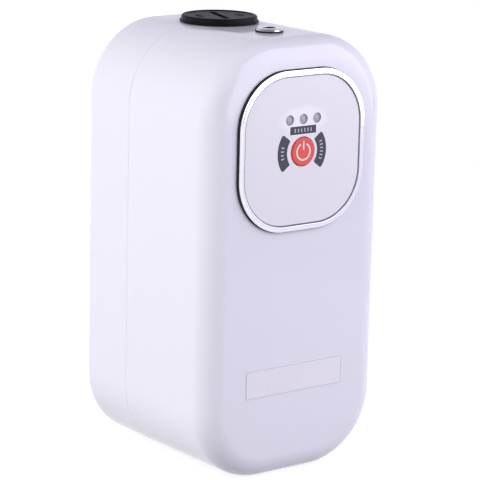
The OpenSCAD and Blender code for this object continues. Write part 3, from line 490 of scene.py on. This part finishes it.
def makeBezel(b):
    points = softened([(b["inner"], b["floorY"]), (b["inner"], b["faceY"], b["round"]),
                       (b["face"], b["faceY"], b["round"]), (b["face"] + b["stepW"], b["lipY"]),
                       (b["lip"], b["lipY"], b["lipRound"]), (b["lip"] + b["flare"], b["sealY"]),
                       (b["neck"], b["sealY"]), (b["neck"], b["casingY"]),
                       (b["skirt"], b["casingY"]), (b["skirt"], b["floorY"]), (b["inner"], b["floorY"])], 6)
    bm = sweepRound(points, b["halfW"], b["halfH"], b["zMid"], 32)
    finishPiece("bezelRing", bm, "casing", brightChrome, ["bezel_ring"], 40)
    points = softened([(b["neck"], b["sealY"]), (b["sealTop"], b["sealY"], b["round"]),
                       (b["sealR"], b["casingY"]), (b["neck"], b["casingY"]), (b["neck"], b["sealY"])], 4)
    bm = sweepRound(points, b["halfW"], b["halfH"], b["zMid"], 32)
    finishPiece("bezelSeal", bm, "casing", epdmRubber, angle=40)


makeBezel(bezel)

# Panel plate and its printed overlay
panel = {"halfW": 9, "halfH": 10, "zMid": 143, "r": 21.8, "frontY": -46.2, "backY": -43.4, "labelR": 21.6,
         "labelY": -46.4, "edge": 0.2, "filmEdge": 0.06, "cutY": (-48, -42), "buttonZ": 142.5,
         "buttonHole": 6.4, "recess": 7.5, "recessY": -44.6, "lensZ": 156.3, "lensPitch": 7.3,
         "lensHole": 2.2}


def plateBlock(p, r, y0, y1, edge):
    points = softened([(r - edge * 2, y0), (r, y0, edge), (r, y1)], 3)
    bm = sweepRound(points, p["halfW"], p["halfH"], p["zMid"], 24)
    return capEnds(bm, y0, y1)


def lensHoles(p, y0, y1):
    return [rod(i * p["lensPitch"], p["lensZ"], y0, y1, p["lensHole"], 32) for i in (-1, 0, 1)]


def makePanel(p):
    front, back = p["cutY"]
    plate = plateBlock(p, p["r"], p["frontY"], p["backY"], p["edge"])
    holes = joined(rod(0, p["buttonZ"], front, back, p["buttonHole"], 72),
                   rod(0, p["buttonZ"], p["recessY"], back, p["recess"], 72), *lensHoles(p, front, back))
    finishPiece("controlPanel", carved(plate, holes), "casing", satinAbs, ["control_panel"])
    film = plateBlock(p, p["labelR"], p["labelY"], p["frontY"], p["filmEdge"])
    holes = joined(rod(0, p["buttonZ"], front, back, p["buttonHole"], 72), *lensHoles(p, front, back))
    finishPiece("panelOverlay", carved(film, holes), "casing", printedOverlay,
                ["panel_label"])


makePanel(panel)

# Printed marks on the overlay: two curved fields beside the button and a bar above it, each with a row of
#  short strokes. A fine grey line round the film is painted shade, where the film meets the ring's inner edge
marks = {"inkY": -46.43, "labelY": -46.4, "cz": 142.5, "tip": 0.9, "corner": 0.5,
         "left": {"inner": 8.4, "outer": 13.4, "half": 37, "side": -1, "strokes": 4},
         "right": {"inner": 7.7, "outer": 12.6, "half": 39, "side": 1, "strokes": 6},
         "strokeTurn": 8.5, "strokeHalfTurn": 1.6, "strokeHalfR": 0.75, "strokeT": 0.02,
         "bar": (-7.0, 150.0, 6.8, 153.4), "barStrokes": 6, "barStep": 1.7, "barHalf": 0.28,
         "barMargin": 0.9, "lineR": (21.35, 21.58)}


def raised(outline, y0, y1):
    bm = bmesh.new()
    verts = [bm.verts.new((x * mm, y0 * mm, z * mm)) for x, z in outline]
    bm.faces.new(verts)
    made = bmesh.ops.extrude_face_region(bm, geom=list(bm.faces))["geom"]
    moved = [v for v in made if isinstance(v, bmesh.types.BMVert)]
    bmesh.ops.translate(bm, verts=moved, vec=(0, (y1 - y0) * mm, 0))
    return cleaned(bm)


def arcField(inner, outer, start, end, y0, y1, cz, steps=24, tip=0, corner=0):
    # A sector of a ring in the front plane; tip and corner round its outer and inner corners
    def onArc(r, angle):
        return r * cos(angle), cz + r * sin(angle)

    def run(r, a, b, margin):
        trim = margin / r * (1 if b > a else -1)
        a, b = a + trim, b - trim
        return [onArc(r, a + (b - a) * k / steps) for k in range(steps + 1)]

    outline = [onArc((inner + outer) / 2, start)]
    if tip:
        outline += [onArc(outer, start) + (tip,), *run(outer, start, end, tip * 1.1),
                    onArc(outer, end) + (tip,), onArc(inner, end) + (corner,),
                    *run(inner, end, start, corner * 1.1), onArc(inner, start) + (corner,)]
        outline = softened(outline + [outline[0]], 6)[:-1]
    else:
        outline = run(outer, start, end, 0) + run(inner, end, start, 0)
    return raised(outline, y0, y1)


def makeMarks(m):
    fields, strokes = [], []
    strokeY = m["inkY"] - m["strokeT"]
    for side in (m["left"], m["right"]):
        middle = 0 if side["side"] > 0 else pi
        half = radians(side["half"])
        fields.append(arcField(side["inner"], side["outer"], middle - half, middle + half,
                               m["labelY"], m["inkY"], m["cz"], 24, m["tip"], m["corner"]))
        mid = (side["inner"] + side["outer"]) / 2
        for k in range(side["strokes"]):
            at = middle + radians((k - (side["strokes"] - 1) / 2) * m["strokeTurn"])
            reach = radians(m["strokeHalfTurn"])
            strokes.append(arcField(mid - m["strokeHalfR"], mid + m["strokeHalfR"], at - reach, at + reach,
                                    m["inkY"], strokeY, m["cz"], 2))
    x0, z0, x1, z1 = m["bar"]
    fields.append(slab((x0, m["inkY"], z0), (x1, m["labelY"], z1)))
    for k in range(m["barStrokes"]):
        x = (x0 + x1) / 2 + (k - (m["barStrokes"] - 1) / 2) * m["barStep"]
        strokes.append(slab((x - m["barHalf"], strokeY, z0 + m["barMargin"]),
                            (x + m["barHalf"], m["inkY"], z1 - m["barMargin"])))
    finishPiece("navyPrint", joined(*fields), "casing", navyInk)
    finishPiece("palePrint", joined(*strokes), "casing", paleInk)
    # The grey line round the film's edge is painted shade for the gap under the ring's inner edge
    low, high = m["lineR"]
    line = sweepRound([(low, m["labelY"]), (low, m["inkY"]), (high, m["inkY"]), (high, m["labelY"]),
                       (low, m["labelY"])], panel["halfW"], panel["halfH"], panel["zMid"], 24)
    finishPiece("paintedGapShade", line, "casing", gapShadeGrey)


makeMarks(marks)

# Power button: low cap with a soft edge and a shallow dish, and the usual power sign printed on it
button = {"z": 142.5, "r": 6.1, "faceY": -46.9, "flangeY": -44.3, "flangeT": 0.8, "flangeR": 7.2,
          "stemR": 2.5, "stemY": -41.0, "round": 0.55, "dish": 0.08}
powerSign = {"r": 3.5, "line": 0.72, "gap": 26, "barLow": 0.8, "barHigh": 4.6, "proud": 0.03}


def makeButton(b, s):
    height = b["flangeY"] - b["faceY"]
    profile = softened([(0, b["dish"]), (b["r"] * 0.5, b["dish"] * 0.7), (b["r"], 0, b["round"]),
                        (b["r"], height),
                        (b["flangeR"], height, 0.15), (b["flangeR"], height + b["flangeT"], 0.15),
                        (b["stemR"], height + b["flangeT"]), (b["stemR"], b["stemY"] - b["faceY"], 0.2),
                        (0, b["stemY"] - b["faceY"])], 6)
    finishPiece("powerButton", lathe(profile, (0, b["faceY"], b["z"]), 96, alongY=True), "button",
                redAbs, ["power_button"])
    y0, y1 = b["faceY"] + b["dish"], b["faceY"] - s["proud"]
    gap = radians(s["gap"])
    ringPart = arcField(s["r"] - s["line"] / 2, s["r"] + s["line"] / 2, pi / 2 + gap,
                        pi / 2 + tau - gap, y0, y1, b["z"], 64)
    bar = slab((-s["line"] / 2, y1, b["z"] + s["barLow"]), (s["line"] / 2, y0, b["z"] + s["barHigh"]))
    finishPiece("powerSign", joined(ringPart, bar), "button", whiteInk)


makeButton(button, powerSign)

# Indicator lights: three light pipes on one bar, each with a raised centre and a groove round it
lens = {"z": 156.3, "pitch": 7.3, "r": 2.1, "faceY": -46.0, "endY": -37.3, "barY": -43.4, "barT": 1,
        "barH": 5}


def makeLens(p):
    length = p["endY"] - p["faceY"]
    profile = softened([(0, 0), (p["r"] * 0.45, 0.02, 0.2), (p["r"] * 0.52, 0.25, 0.05),
                        (p["r"] * 0.66, 0.25, 0.05), (p["r"] * 0.74, 0.03, 0.1), (p["r"], 0.3, 0.2),
                        (p["r"], length, 0.1), (0, length)], 5)
    pipes = [lathe(profile, (i * p["pitch"], p["faceY"], p["z"]), 48, alongY=True) for i in (-1, 0, 1)]
    half = p["pitch"] + p["barH"] / 2
    bar = slab((-half, p["barY"], p["z"] - p["barH"] / 2),
               (half, p["barY"] + p["barT"], p["z"] + p["barH"] / 2))
    finishPiece("indicatorLens", carved(joined(*pipes), bar, "UNION"), "casing", lightPipe,
                ["indicator_lens"])


makeLens(lens)

# Sticker: a bare clear film with rounded corners and a faint thicker edge
sticker = {"halfW": 25, "halfH": 5.2, "r": 1, "zMid": 43.5, "faceY": -45.12, "backY": -45, "edgeY": -45.15,
           "edgeR": 0.6}


def makeSticker(s):
    bm = sweepRound([(s["r"], s["faceY"]), (s["r"], s["backY"])], s["halfW"], s["halfH"], s["zMid"], 6)
    finishPiece("clearSticker", capEnds(bm, s["faceY"], s["backY"]), "casing", clearFilm,
                ["front_label"])
    edge = sweepRound([(s["edgeR"], s["faceY"]), (s["edgeR"], s["edgeY"]), (s["r"], s["edgeY"]),
                       (s["r"], s["faceY"]), (s["edgeR"], s["faceY"])],
                      s["halfW"], s["halfH"], s["zMid"], 6)
    finishPiece("stickerEdge", edge, "casing", filmEdge)


makeSticker(sticker)
print("front made")

# Power jack: low chrome flange with a rounded shoulder and a threaded barrel, on a thin black washer
jack = {"y": -21.5, "baseZ": 190.3, "flangeR": 5.8, "flangeH": 1.5, "rimH": 0.35, "faceR": 3.5,
        "shoulderR": 5.2, "shoulderH": 1.25, "holeR": 2.8, "holeRound": 0.12, "barrelR": 4.0,
        "endZ": 178.5, "threadCount": 18, "threadD": 0.22, "threadMargin": 0.6, "washerZ": 190,
        "washerR": 6.0, "washerHole": 4.05, "washerT": 0.3, "washerRim": 0.8, "linerR": 2.6,
        "linerLow": 182.5}


def makeJack(j):
    drop = j["endZ"] - j["baseZ"]
    threadLen = -drop - 2 * j["threadMargin"]
    threads = []
    for k in range(j["threadCount"]):
        z = -j["threadMargin"] - k * threadLen / j["threadCount"]
        threads += [(j["barrelR"], z), (j["barrelR"] - j["threadD"], z - threadLen / j["threadCount"] / 2)]
    profile = softened([(j["holeR"], drop), (j["holeR"], j["flangeH"], j["holeRound"]),
                        (j["faceR"], j["flangeH"], 0.3), (j["shoulderR"], j["shoulderH"], 0.9),
                        (j["flangeR"], j["rimH"], 0.25), (j["flangeR"], 0), (j["barrelR"], 0), *threads,
                        (j["barrelR"], drop), (j["holeR"], drop)], 6)
    finishPiece("jackBody", lathe(profile, (0, j["y"], j["baseZ"]), 96), "casing",
                brightChrome, ["jack_body"], 40)
    linerTop = j["baseZ"] + j["flangeH"] - j["holeRound"]
    liner = softened([(j["holeR"], j["linerLow"]), (j["linerR"], j["linerLow"]), (j["linerR"], linerTop, 0.1),
                      (j["holeR"], linerTop), (j["holeR"], j["linerLow"])], 3)
    finishPiece("jackLiner", lathe(liner, (0, j["y"], 0), 72), "casing", blackAbs)
    washer = softened([(j["washerHole"], 0), (j["washerR"], 0, 0.1), (j["washerR"], j["washerRim"], 0.1),
                       (j["flangeR"], j["washerRim"]), (j["flangeR"], j["washerT"]),
                       (j["washerHole"], j["washerT"]), (j["washerHole"], 0)], 3)
    finishPiece("jackWasher", lathe(washer, (0, j["y"], j["washerZ"]), 72), "casing",
                epdmRubber, ["jack_washer"])


makeJack(jack)

# Ports: threads are helical ridges, 14 to the inch
thread = {"pitch": 1.814, "steps": 48}


def ridge(root, crest, z0, z1, t):
    half = t["pitch"] * 0.42
    turns = (z1 - z0) / t["pitch"] - 1
    bm = bmesh.new()
    points = [(root, -half), (crest, -half * 0.25), (crest, half * 0.25), (root, half)]
    verts = [bm.verts.new((r * mm, 0, (z0 + t["pitch"] / 2 + h) * mm)) for r, h in points]
    section = bm.faces.new(verts)
    count = int(turns * t["steps"])
    bmesh.ops.spin(bm, geom=verts + list(section.edges) + [section], cent=(0, 0, 0), axis=(0, 0, 1),
                   dvec=(0, 0, t["pitch"] / t["steps"] * mm), angle=tau * count / t["steps"], steps=count)
    return cleaned(bm)


plug = {"y": 14, "z": 190.7, "flangeR": 17.3, "lipLow": -0.4, "lipT": 0.45, "recessR": 15.9, "headR": 16.6,
        "headH": 2.5, "round": 0.9, "rimW": 1.6, "dish": 0.4, "shankR": 11.3, "crest": 12.0, "shankLen": 10,
        "boreR": 9, "boreTop": -1, "slotW": 2.7, "slotLen": 22, "slotD": 1.8, "slotAngle": 72,
        "strokeR": 9.4, "strokeTurn": 17, "strokeHalf": (0.5, 1.3), "strokeSink": 0.05,
        "strokeRise": 0.16, "strokeRound": 0.1}


def makePlug(p):
    top = p["headH"] - p["dish"]
    profile = softened([(0, top), (p["headR"] - p["rimW"] - p["dish"], top, 0.4),
                        (p["headR"] - p["rimW"], p["headH"], 0.25),
                        (p["headR"] - 0.1, p["headH"], p["round"]),
                        (p["headR"], p["lipT"], 0.3), (p["flangeR"], p["lipT"] - 0.2, 0.2),
                        (p["flangeR"], p["lipLow"], 0.15), (p["recessR"], p["lipLow"]), (p["recessR"], 0),
                        (p["shankR"], 0), (p["shankR"], -p["shankLen"], 0.4),
                        (p["boreR"], -p["shankLen"], 0.2), (p["boreR"], p["boreTop"], 1),
                        (0, p["boreTop"])], 7)
    bm = lathe(profile, (0, 0, 0), 128)
    slot = slab((-p["slotLen"] / 2, -p["slotW"] / 2, p["headH"] - p["slotD"]),
                (p["slotLen"] / 2, p["slotW"] / 2, p["headH"] + 1))
    upright = [e for e in slot.edges if abs(e.verts[0].co.z - e.verts[1].co.z) > 1e-4]
    bmesh.ops.bevel(slot, geom=upright, offset=p["slotW"] * 0.42 * mm, segments=6, affect="EDGES",
                    profile=0.5, material=-1)
    bm = carved(bm, slot)
    strokes = []
    halfX, halfY = p["strokeHalf"]
    for side in (0, pi):  # three plain raised strokes on each side of the slot
        for k in (-1, 0, 1):
            stroke = slab((-halfX, -halfY, top - p["strokeSink"]), (halfX, halfY, top + p["strokeRise"]))
            upper = [e for e in stroke.edges if all(v.co.z > top * mm for v in e.verts)]
            bmesh.ops.bevel(stroke, geom=upper, offset=p["strokeRound"] * mm, segments=2,
                            affect="EDGES", profile=0.5, material=-1)
            bmesh.ops.translate(stroke, verts=stroke.verts, vec=(0, p["strokeR"] * mm, 0))
            turned = Matrix.Rotation(side + radians(k * p["strokeTurn"]), 3, "Z")
            bmesh.ops.rotate(stroke, verts=stroke.verts, cent=(0, 0, 0), matrix=turned)
            strokes.append(stroke)
    helix = ridge(p["shankR"] - 0.1, p["crest"], -p["shankLen"] + 0.4, -0.6, thread)
    bm = joined(bm, *strokes, helix)
    turned = Matrix.Rotation(radians(p["slotAngle"]), 3, "Z")
    bmesh.ops.rotate(bm, verts=bm.verts, cent=(0, 0, 0), matrix=turned)
    bmesh.ops.translate(bm, verts=bm.verts, vec=Vector((0, p["y"], p["z"])) * mm)
    finishPiece("portPlug", bm, "plug", filledPolypropylene, ["port_plug"], 35)


makePlug(plug)

# Flat seal under the plug's flange
sealRing = {"y": 14, "z": 190.2, "inner": 12.11, "outer": 15.6, "t": 0.5}


def makeSeal(s):
    profile = softened([(s["inner"], 0), (s["outer"], 0, 0.15), (s["outer"], s["t"], 0.15),
                        (s["inner"], s["t"]), (s["inner"], 0)], 4)
    finishPiece("plugSeal", lathe(profile, (0, s["y"], s["z"]), 96), "seal", epdmRubber,
                ["plug_seal"])


makeSeal(sealRing)

# Brass inserts in the two ports
inserts = {"y": 14, "outer": 14, "root": 13.1, "crest": 12.06, "len": 15.5, "mouth": 0.5, "chamfer": 0.7,
           "places": {"outletInsert": ("outlet_insert", 174.7), "inletInsert": ("inlet_insert", 0.5)}}


def makeInserts(p):
    for name, (node, z) in p["places"].items():
        mouthR = p["crest"] + p["mouth"]
        profile = softened([(mouthR, 0), (p["outer"], 0, 0.2), (p["outer"], p["len"], 0.2),
                            (mouthR, p["len"]), (p["root"], p["len"] - p["chamfer"]),
                            (p["root"], p["chamfer"]), (mouthR, 0)], 4)
        shell = lathe(profile, (0, p["y"], z), 96)
        helix = ridge(p["root"] + 0.1, p["crest"], 0.5, p["len"] - 0.5, thread)
        bmesh.ops.translate(helix, verts=helix.verts, vec=Vector((0, p["y"], z)) * mm)
        finishPiece(name, joined(shell, helix), "casing", turnedBrass, [node], 35)


makeInserts(inserts)
print("ports made")

# The other pieces keep the shape of the frame: a merged copy with smooth curves and its finish
carried = {
    "seam_gaskets": ("rubber", epdmRubber), "case_screws": ("plated_steel", zincSteel),
    "port_collars": ("rubber", epdmRubber), "switch_plunger": ("black_plastic", blackAbs),
    "button_switch": ("black_plastic", blackAbs), "indicator_leds": ("led_package", ledResin),
    "controller_board": ("circuit_board", solderMask), "driver_chips": ("black_plastic", blackAbs),
    "board_capacitor": ("capacitor_sleeve", capSleeve), "lead_headers": ("header_nylon", headerNylon),
    "board_screws": ("plated_steel", zincSteel), "jack_nut": ("plated_steel", zincSteel),
    "jack_insulator": ("black_plastic", blackAbs), "jack_pin": ("plated_steel", zincSteel),
    "pump_body": ("pump_plastic", filledNylon), "inlet_strainer": ("plated_steel", zincSteel),
    "impeller": ("white_plastic", whiteAcetal), "rotor_magnet": ("magnet_ferrite", sinteredFerrite),
    "rotor_shaft": ("plated_steel", zincSteel), "can_bush": ("carbon_bush", carbonGraphite),
    "carrier_bush": ("carbon_bush", carbonGraphite), "thrust_washers": ("white_plastic", whiteAcetal),
    "bearing_carrier": ("pump_plastic", filledNylon), "rotor_can": ("pump_plastic", filledNylon),
    "can_seal": ("rubber", epdmRubber), "stator_core": ("stator_laminations", stackedSteel),
    "stator_coils": ("copper_winding", enamelledCopper), "motor_housing": ("pump_plastic", filledNylon),
    "motor_screws": ("plated_steel", zincSteel), "lead_grommet": ("rubber", epdmRubber),
    "flow_poppet": ("white_plastic", whiteAcetal), "poppet_magnet": ("magnet_ferrite", sinteredFerrite),
    "poppet_spring": ("plated_steel", zincSteel), "poppet_guide": ("white_plastic", whiteAcetal),
    "reed_switch": ("black_plastic", blackAbs), "jack_lead": ("lead_insulation", leadPvc),
    "motor_lead": ("lead_insulation", leadPvc), "sensor_lead": ("lead_insulation", leadPvc),
}


def carryOver(table):
    pieces = {}
    for node, (slotName, material) in table.items():
        source = frame["nodes"][node]
        bm = bmesh.new()
        bm.from_mesh(source.data)
        bmesh.ops.remove_doubles(bm, verts=bm.verts, dist=1e-7)
        words = node.split("_")
        name = words[0] + "".join(word.capitalize() for word in words[1:])
        pieces[node] = finishPiece(name, bm, source["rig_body"], material, [node], 30)
    return pieces


# The flow spring gets a mesh of its own; in the pump it shortens towards its upper end as the poppet lifts
springWork = {"node": "poppet_spring", "joint": "poppet_lift", "lift": 6}


def squashSpring(pieces, s):
    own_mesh(pieces[s["node"]])


squashSpring(carryOver(carried), springWork)
print("inner pieces made")

# Studio: a pale table with soft boxes to the left, the right and behind, a white surround that dims
# overhead, and a dark screen behind the camera for the chrome to mirror
studio = {"floorLow": (-1.7, -1.3), "floorHigh": (0.334, 1.7), "floorTurn": -21.7,
          "floorColour": "9A9A9E", "horizon": 0.72, "overhead": 0.08, "mirrored": 1.0, "ceiling": 0.2,
          "tint": "F0ECFF", "background": 1.0, "glow": 0.82}
# A lamp that isn't mirrored lights the object and stays out of its reflections
lamps = {
    "leftBox": {"place": (-2.1, 0.35, 0.6), "size": 1.9, "power": 49, "colour": "FFFFFF", "mirrored": False},
    "rightBox": {"place": (0.7, -0.95, 0.6), "size": 1.5, "power": 15.5, "colour": "F6F3FF",
                 "mirrored": True},
    "backBox": {"place": (0.5, 1.9, 0.45), "size": 1.2, "power": 19, "colour": "F6F3FF", "mirrored": False},
}
lampAim = (0, 0, 0.1)
screen = {"away": 1.55, "width": 1.1, "height": 0.75, "lift": 0.12, "colour": "1C1C20", "rough": 0.9}


def makeFloor(s):
    material = bpy.data.materials.new("paleTable")
    material.use_nodes = True
    tree = material.node_tree
    tree.nodes.clear()
    place = addNode(tree, "ShaderNodeTexCoord").outputs["Object"]
    grain = addNode(tree, "ShaderNodeTexNoise", links={"Vector": place, "Scale": 40}).outputs[0]
    gloss = addNode(tree, "ShaderNodeMapRange",
                    links={"Value": grain, "To Min": 0.6, "To Max": 0.7}).outputs[0]
    matt = addNode(tree, "ShaderNodeBsdfPrincipled",
                   links={"Base Color": hexColour(s["floorColour"]), "Roughness": gloss}).outputs[0]
    glow = addNode(tree, "ShaderNodeEmission",
                   links={"Color": (1, 1, 1, 1), "Strength": s["glow"]}).outputs[0]
    # Seen directly, in a reflection or through a clear piece, the table is lifted to the surround's white
    both = addNode(tree, "ShaderNodeAddShader", links={0: matt, 1: glow}).outputs[0]
    path = addNode(tree, "ShaderNodeLightPath")
    clear = path.outputs["Is Camera Ray"]
    for ray in ("Is Glossy Ray", "Is Transmission Ray"):
        clear = addNode(tree, "ShaderNodeMath", {"operation": "MAXIMUM"},
                        {0: clear, 1: path.outputs[ray]}).outputs[0]
    shown = addNode(tree, "ShaderNodeMixShader", links={"Fac": clear, 1: matt, 2: both})
    addNode(tree, "ShaderNodeOutputMaterial", links={"Surface": shown.outputs[0]})
    bm = bmesh.new()
    bmesh.ops.create_grid(bm, x_segments=1, y_segments=1, size=1)
    low, high = Vector(s["floorLow"]), Vector(s["floorHigh"])
    bmesh.ops.scale(bm, verts=bm.verts, vec=((high - low) / 2).to_3d() + Vector((0, 0, 1)))
    bmesh.ops.translate(bm, verts=bm.verts, vec=((high + low) / 2).to_3d())
    turned = Matrix.Rotation(radians(s["floorTurn"]), 3, "Z")
    bmesh.ops.rotate(bm, verts=bm.verts, cent=(0, 0, 0), matrix=turned)
    mesh = bpy.data.meshes.new("tableTop")
    bm.to_mesh(mesh)
    bm.free()
    mesh.materials.append(material)
    table = bpy.data.objects.new("tableTop", mesh)
    scene.collection.objects.link(table)


def makeWorld(s):
    world = bpy.data.worlds.new("whiteSurround")
    world.use_nodes = True
    tree = world.node_tree
    tree.nodes.clear()
    facing = addNode(tree, "ShaderNodeTexCoord").outputs["Generated"]
    rise = addNode(tree, "ShaderNodeSeparateXYZ", links={0: facing}).outputs["Z"]
    path = addNode(tree, "ShaderNodeLightPath")
    level = addNode(tree, "ShaderNodeMapRange", links={"Value": rise, "To Min": s["horizon"],
                                                       "To Max": s["overhead"]}).outputs[0]
    mirrored = addNode(tree, "ShaderNodeMapRange", links={"Value": rise, "To Min": s["mirrored"],
                                                          "To Max": s["ceiling"]}).outputs[0]
    level = addNode(tree, "ShaderNodeMix", links={"Factor": path.outputs["Is Glossy Ray"], "A": level,
                                                  "B": mirrored}).outputs["Result"]
    soft = addNode(tree, "ShaderNodeBackground",
                   links={"Color": hexColour(s["tint"]), "Strength": level}).outputs[0]
    white = addNode(tree, "ShaderNodeBackground",
                    links={"Color": (1, 1, 1, 1), "Strength": s["background"]}).outputs[0]
    clear = addNode(tree, "ShaderNodeMath", {"operation": "MAXIMUM"},
                    {0: path.outputs["Is Camera Ray"], 1: path.outputs["Is Transmission Ray"]}).outputs[0]
    shown = addNode(tree, "ShaderNodeMixShader", links={"Fac": clear, 1: soft, 2: white}).outputs[0]
    addNode(tree, "ShaderNodeOutputWorld", links={"Surface": shown})
    scene.world = world


def makeScreen(s):
    material = bpy.data.materials.new("blackVelvet")
    material.use_nodes = True
    surface = next(n for n in material.node_tree.nodes if n.bl_idname == "ShaderNodeBsdfPrincipled")
    surface.inputs["Base Color"].default_value = hexColour(s["colour"])
    surface.inputs["Roughness"].default_value = s["rough"]
    bm = bmesh.new()
    bmesh.ops.create_grid(bm, x_segments=1, y_segments=1, size=0.5)
    bmesh.ops.scale(bm, verts=bm.verts, vec=(s["width"], s["height"], 1))
    back = -Vector(cameraSetup["forward"])
    back.z = 0
    facing = back.normalized().to_track_quat("Z", "Y").to_matrix()
    bmesh.ops.rotate(bm, verts=bm.verts, cent=(0, 0, 0), matrix=facing)
    place = back.normalized() * s["away"] + Vector((0, 0, s["height"] / 2 + s["lift"]))
    bmesh.ops.translate(bm, verts=bm.verts, vec=place)
    mesh = bpy.data.meshes.new("darkScreen")
    bm.to_mesh(mesh)
    bm.free()
    mesh.materials.append(material)
    holder = bpy.data.objects.new("darkScreen", mesh)
    scene.collection.objects.link(holder)


def makeLamps(table):
    for name, p in table.items():
        light = bpy.data.lights.new(name, "AREA")
        light.size = p["size"]
        light.energy = p["power"]
        light.color = hexColour(p["colour"])[:3]
        holder = bpy.data.objects.new(name, light)
        place = Vector(p["place"])
        facing = (Vector(lampAim) - place).to_track_quat("-Z", "Y").to_matrix().to_4x4()
        holder.matrix_world = Matrix.Translation(place) @ facing
        holder.visible_glossy = p["mirrored"]
        scene.collection.objects.link(holder)


makeFloor(studio)
makeWorld(studio)
makeScreen(screen)
makeLamps(lamps)
scene.view_settings.view_transform = "Standard"
print("studio made")
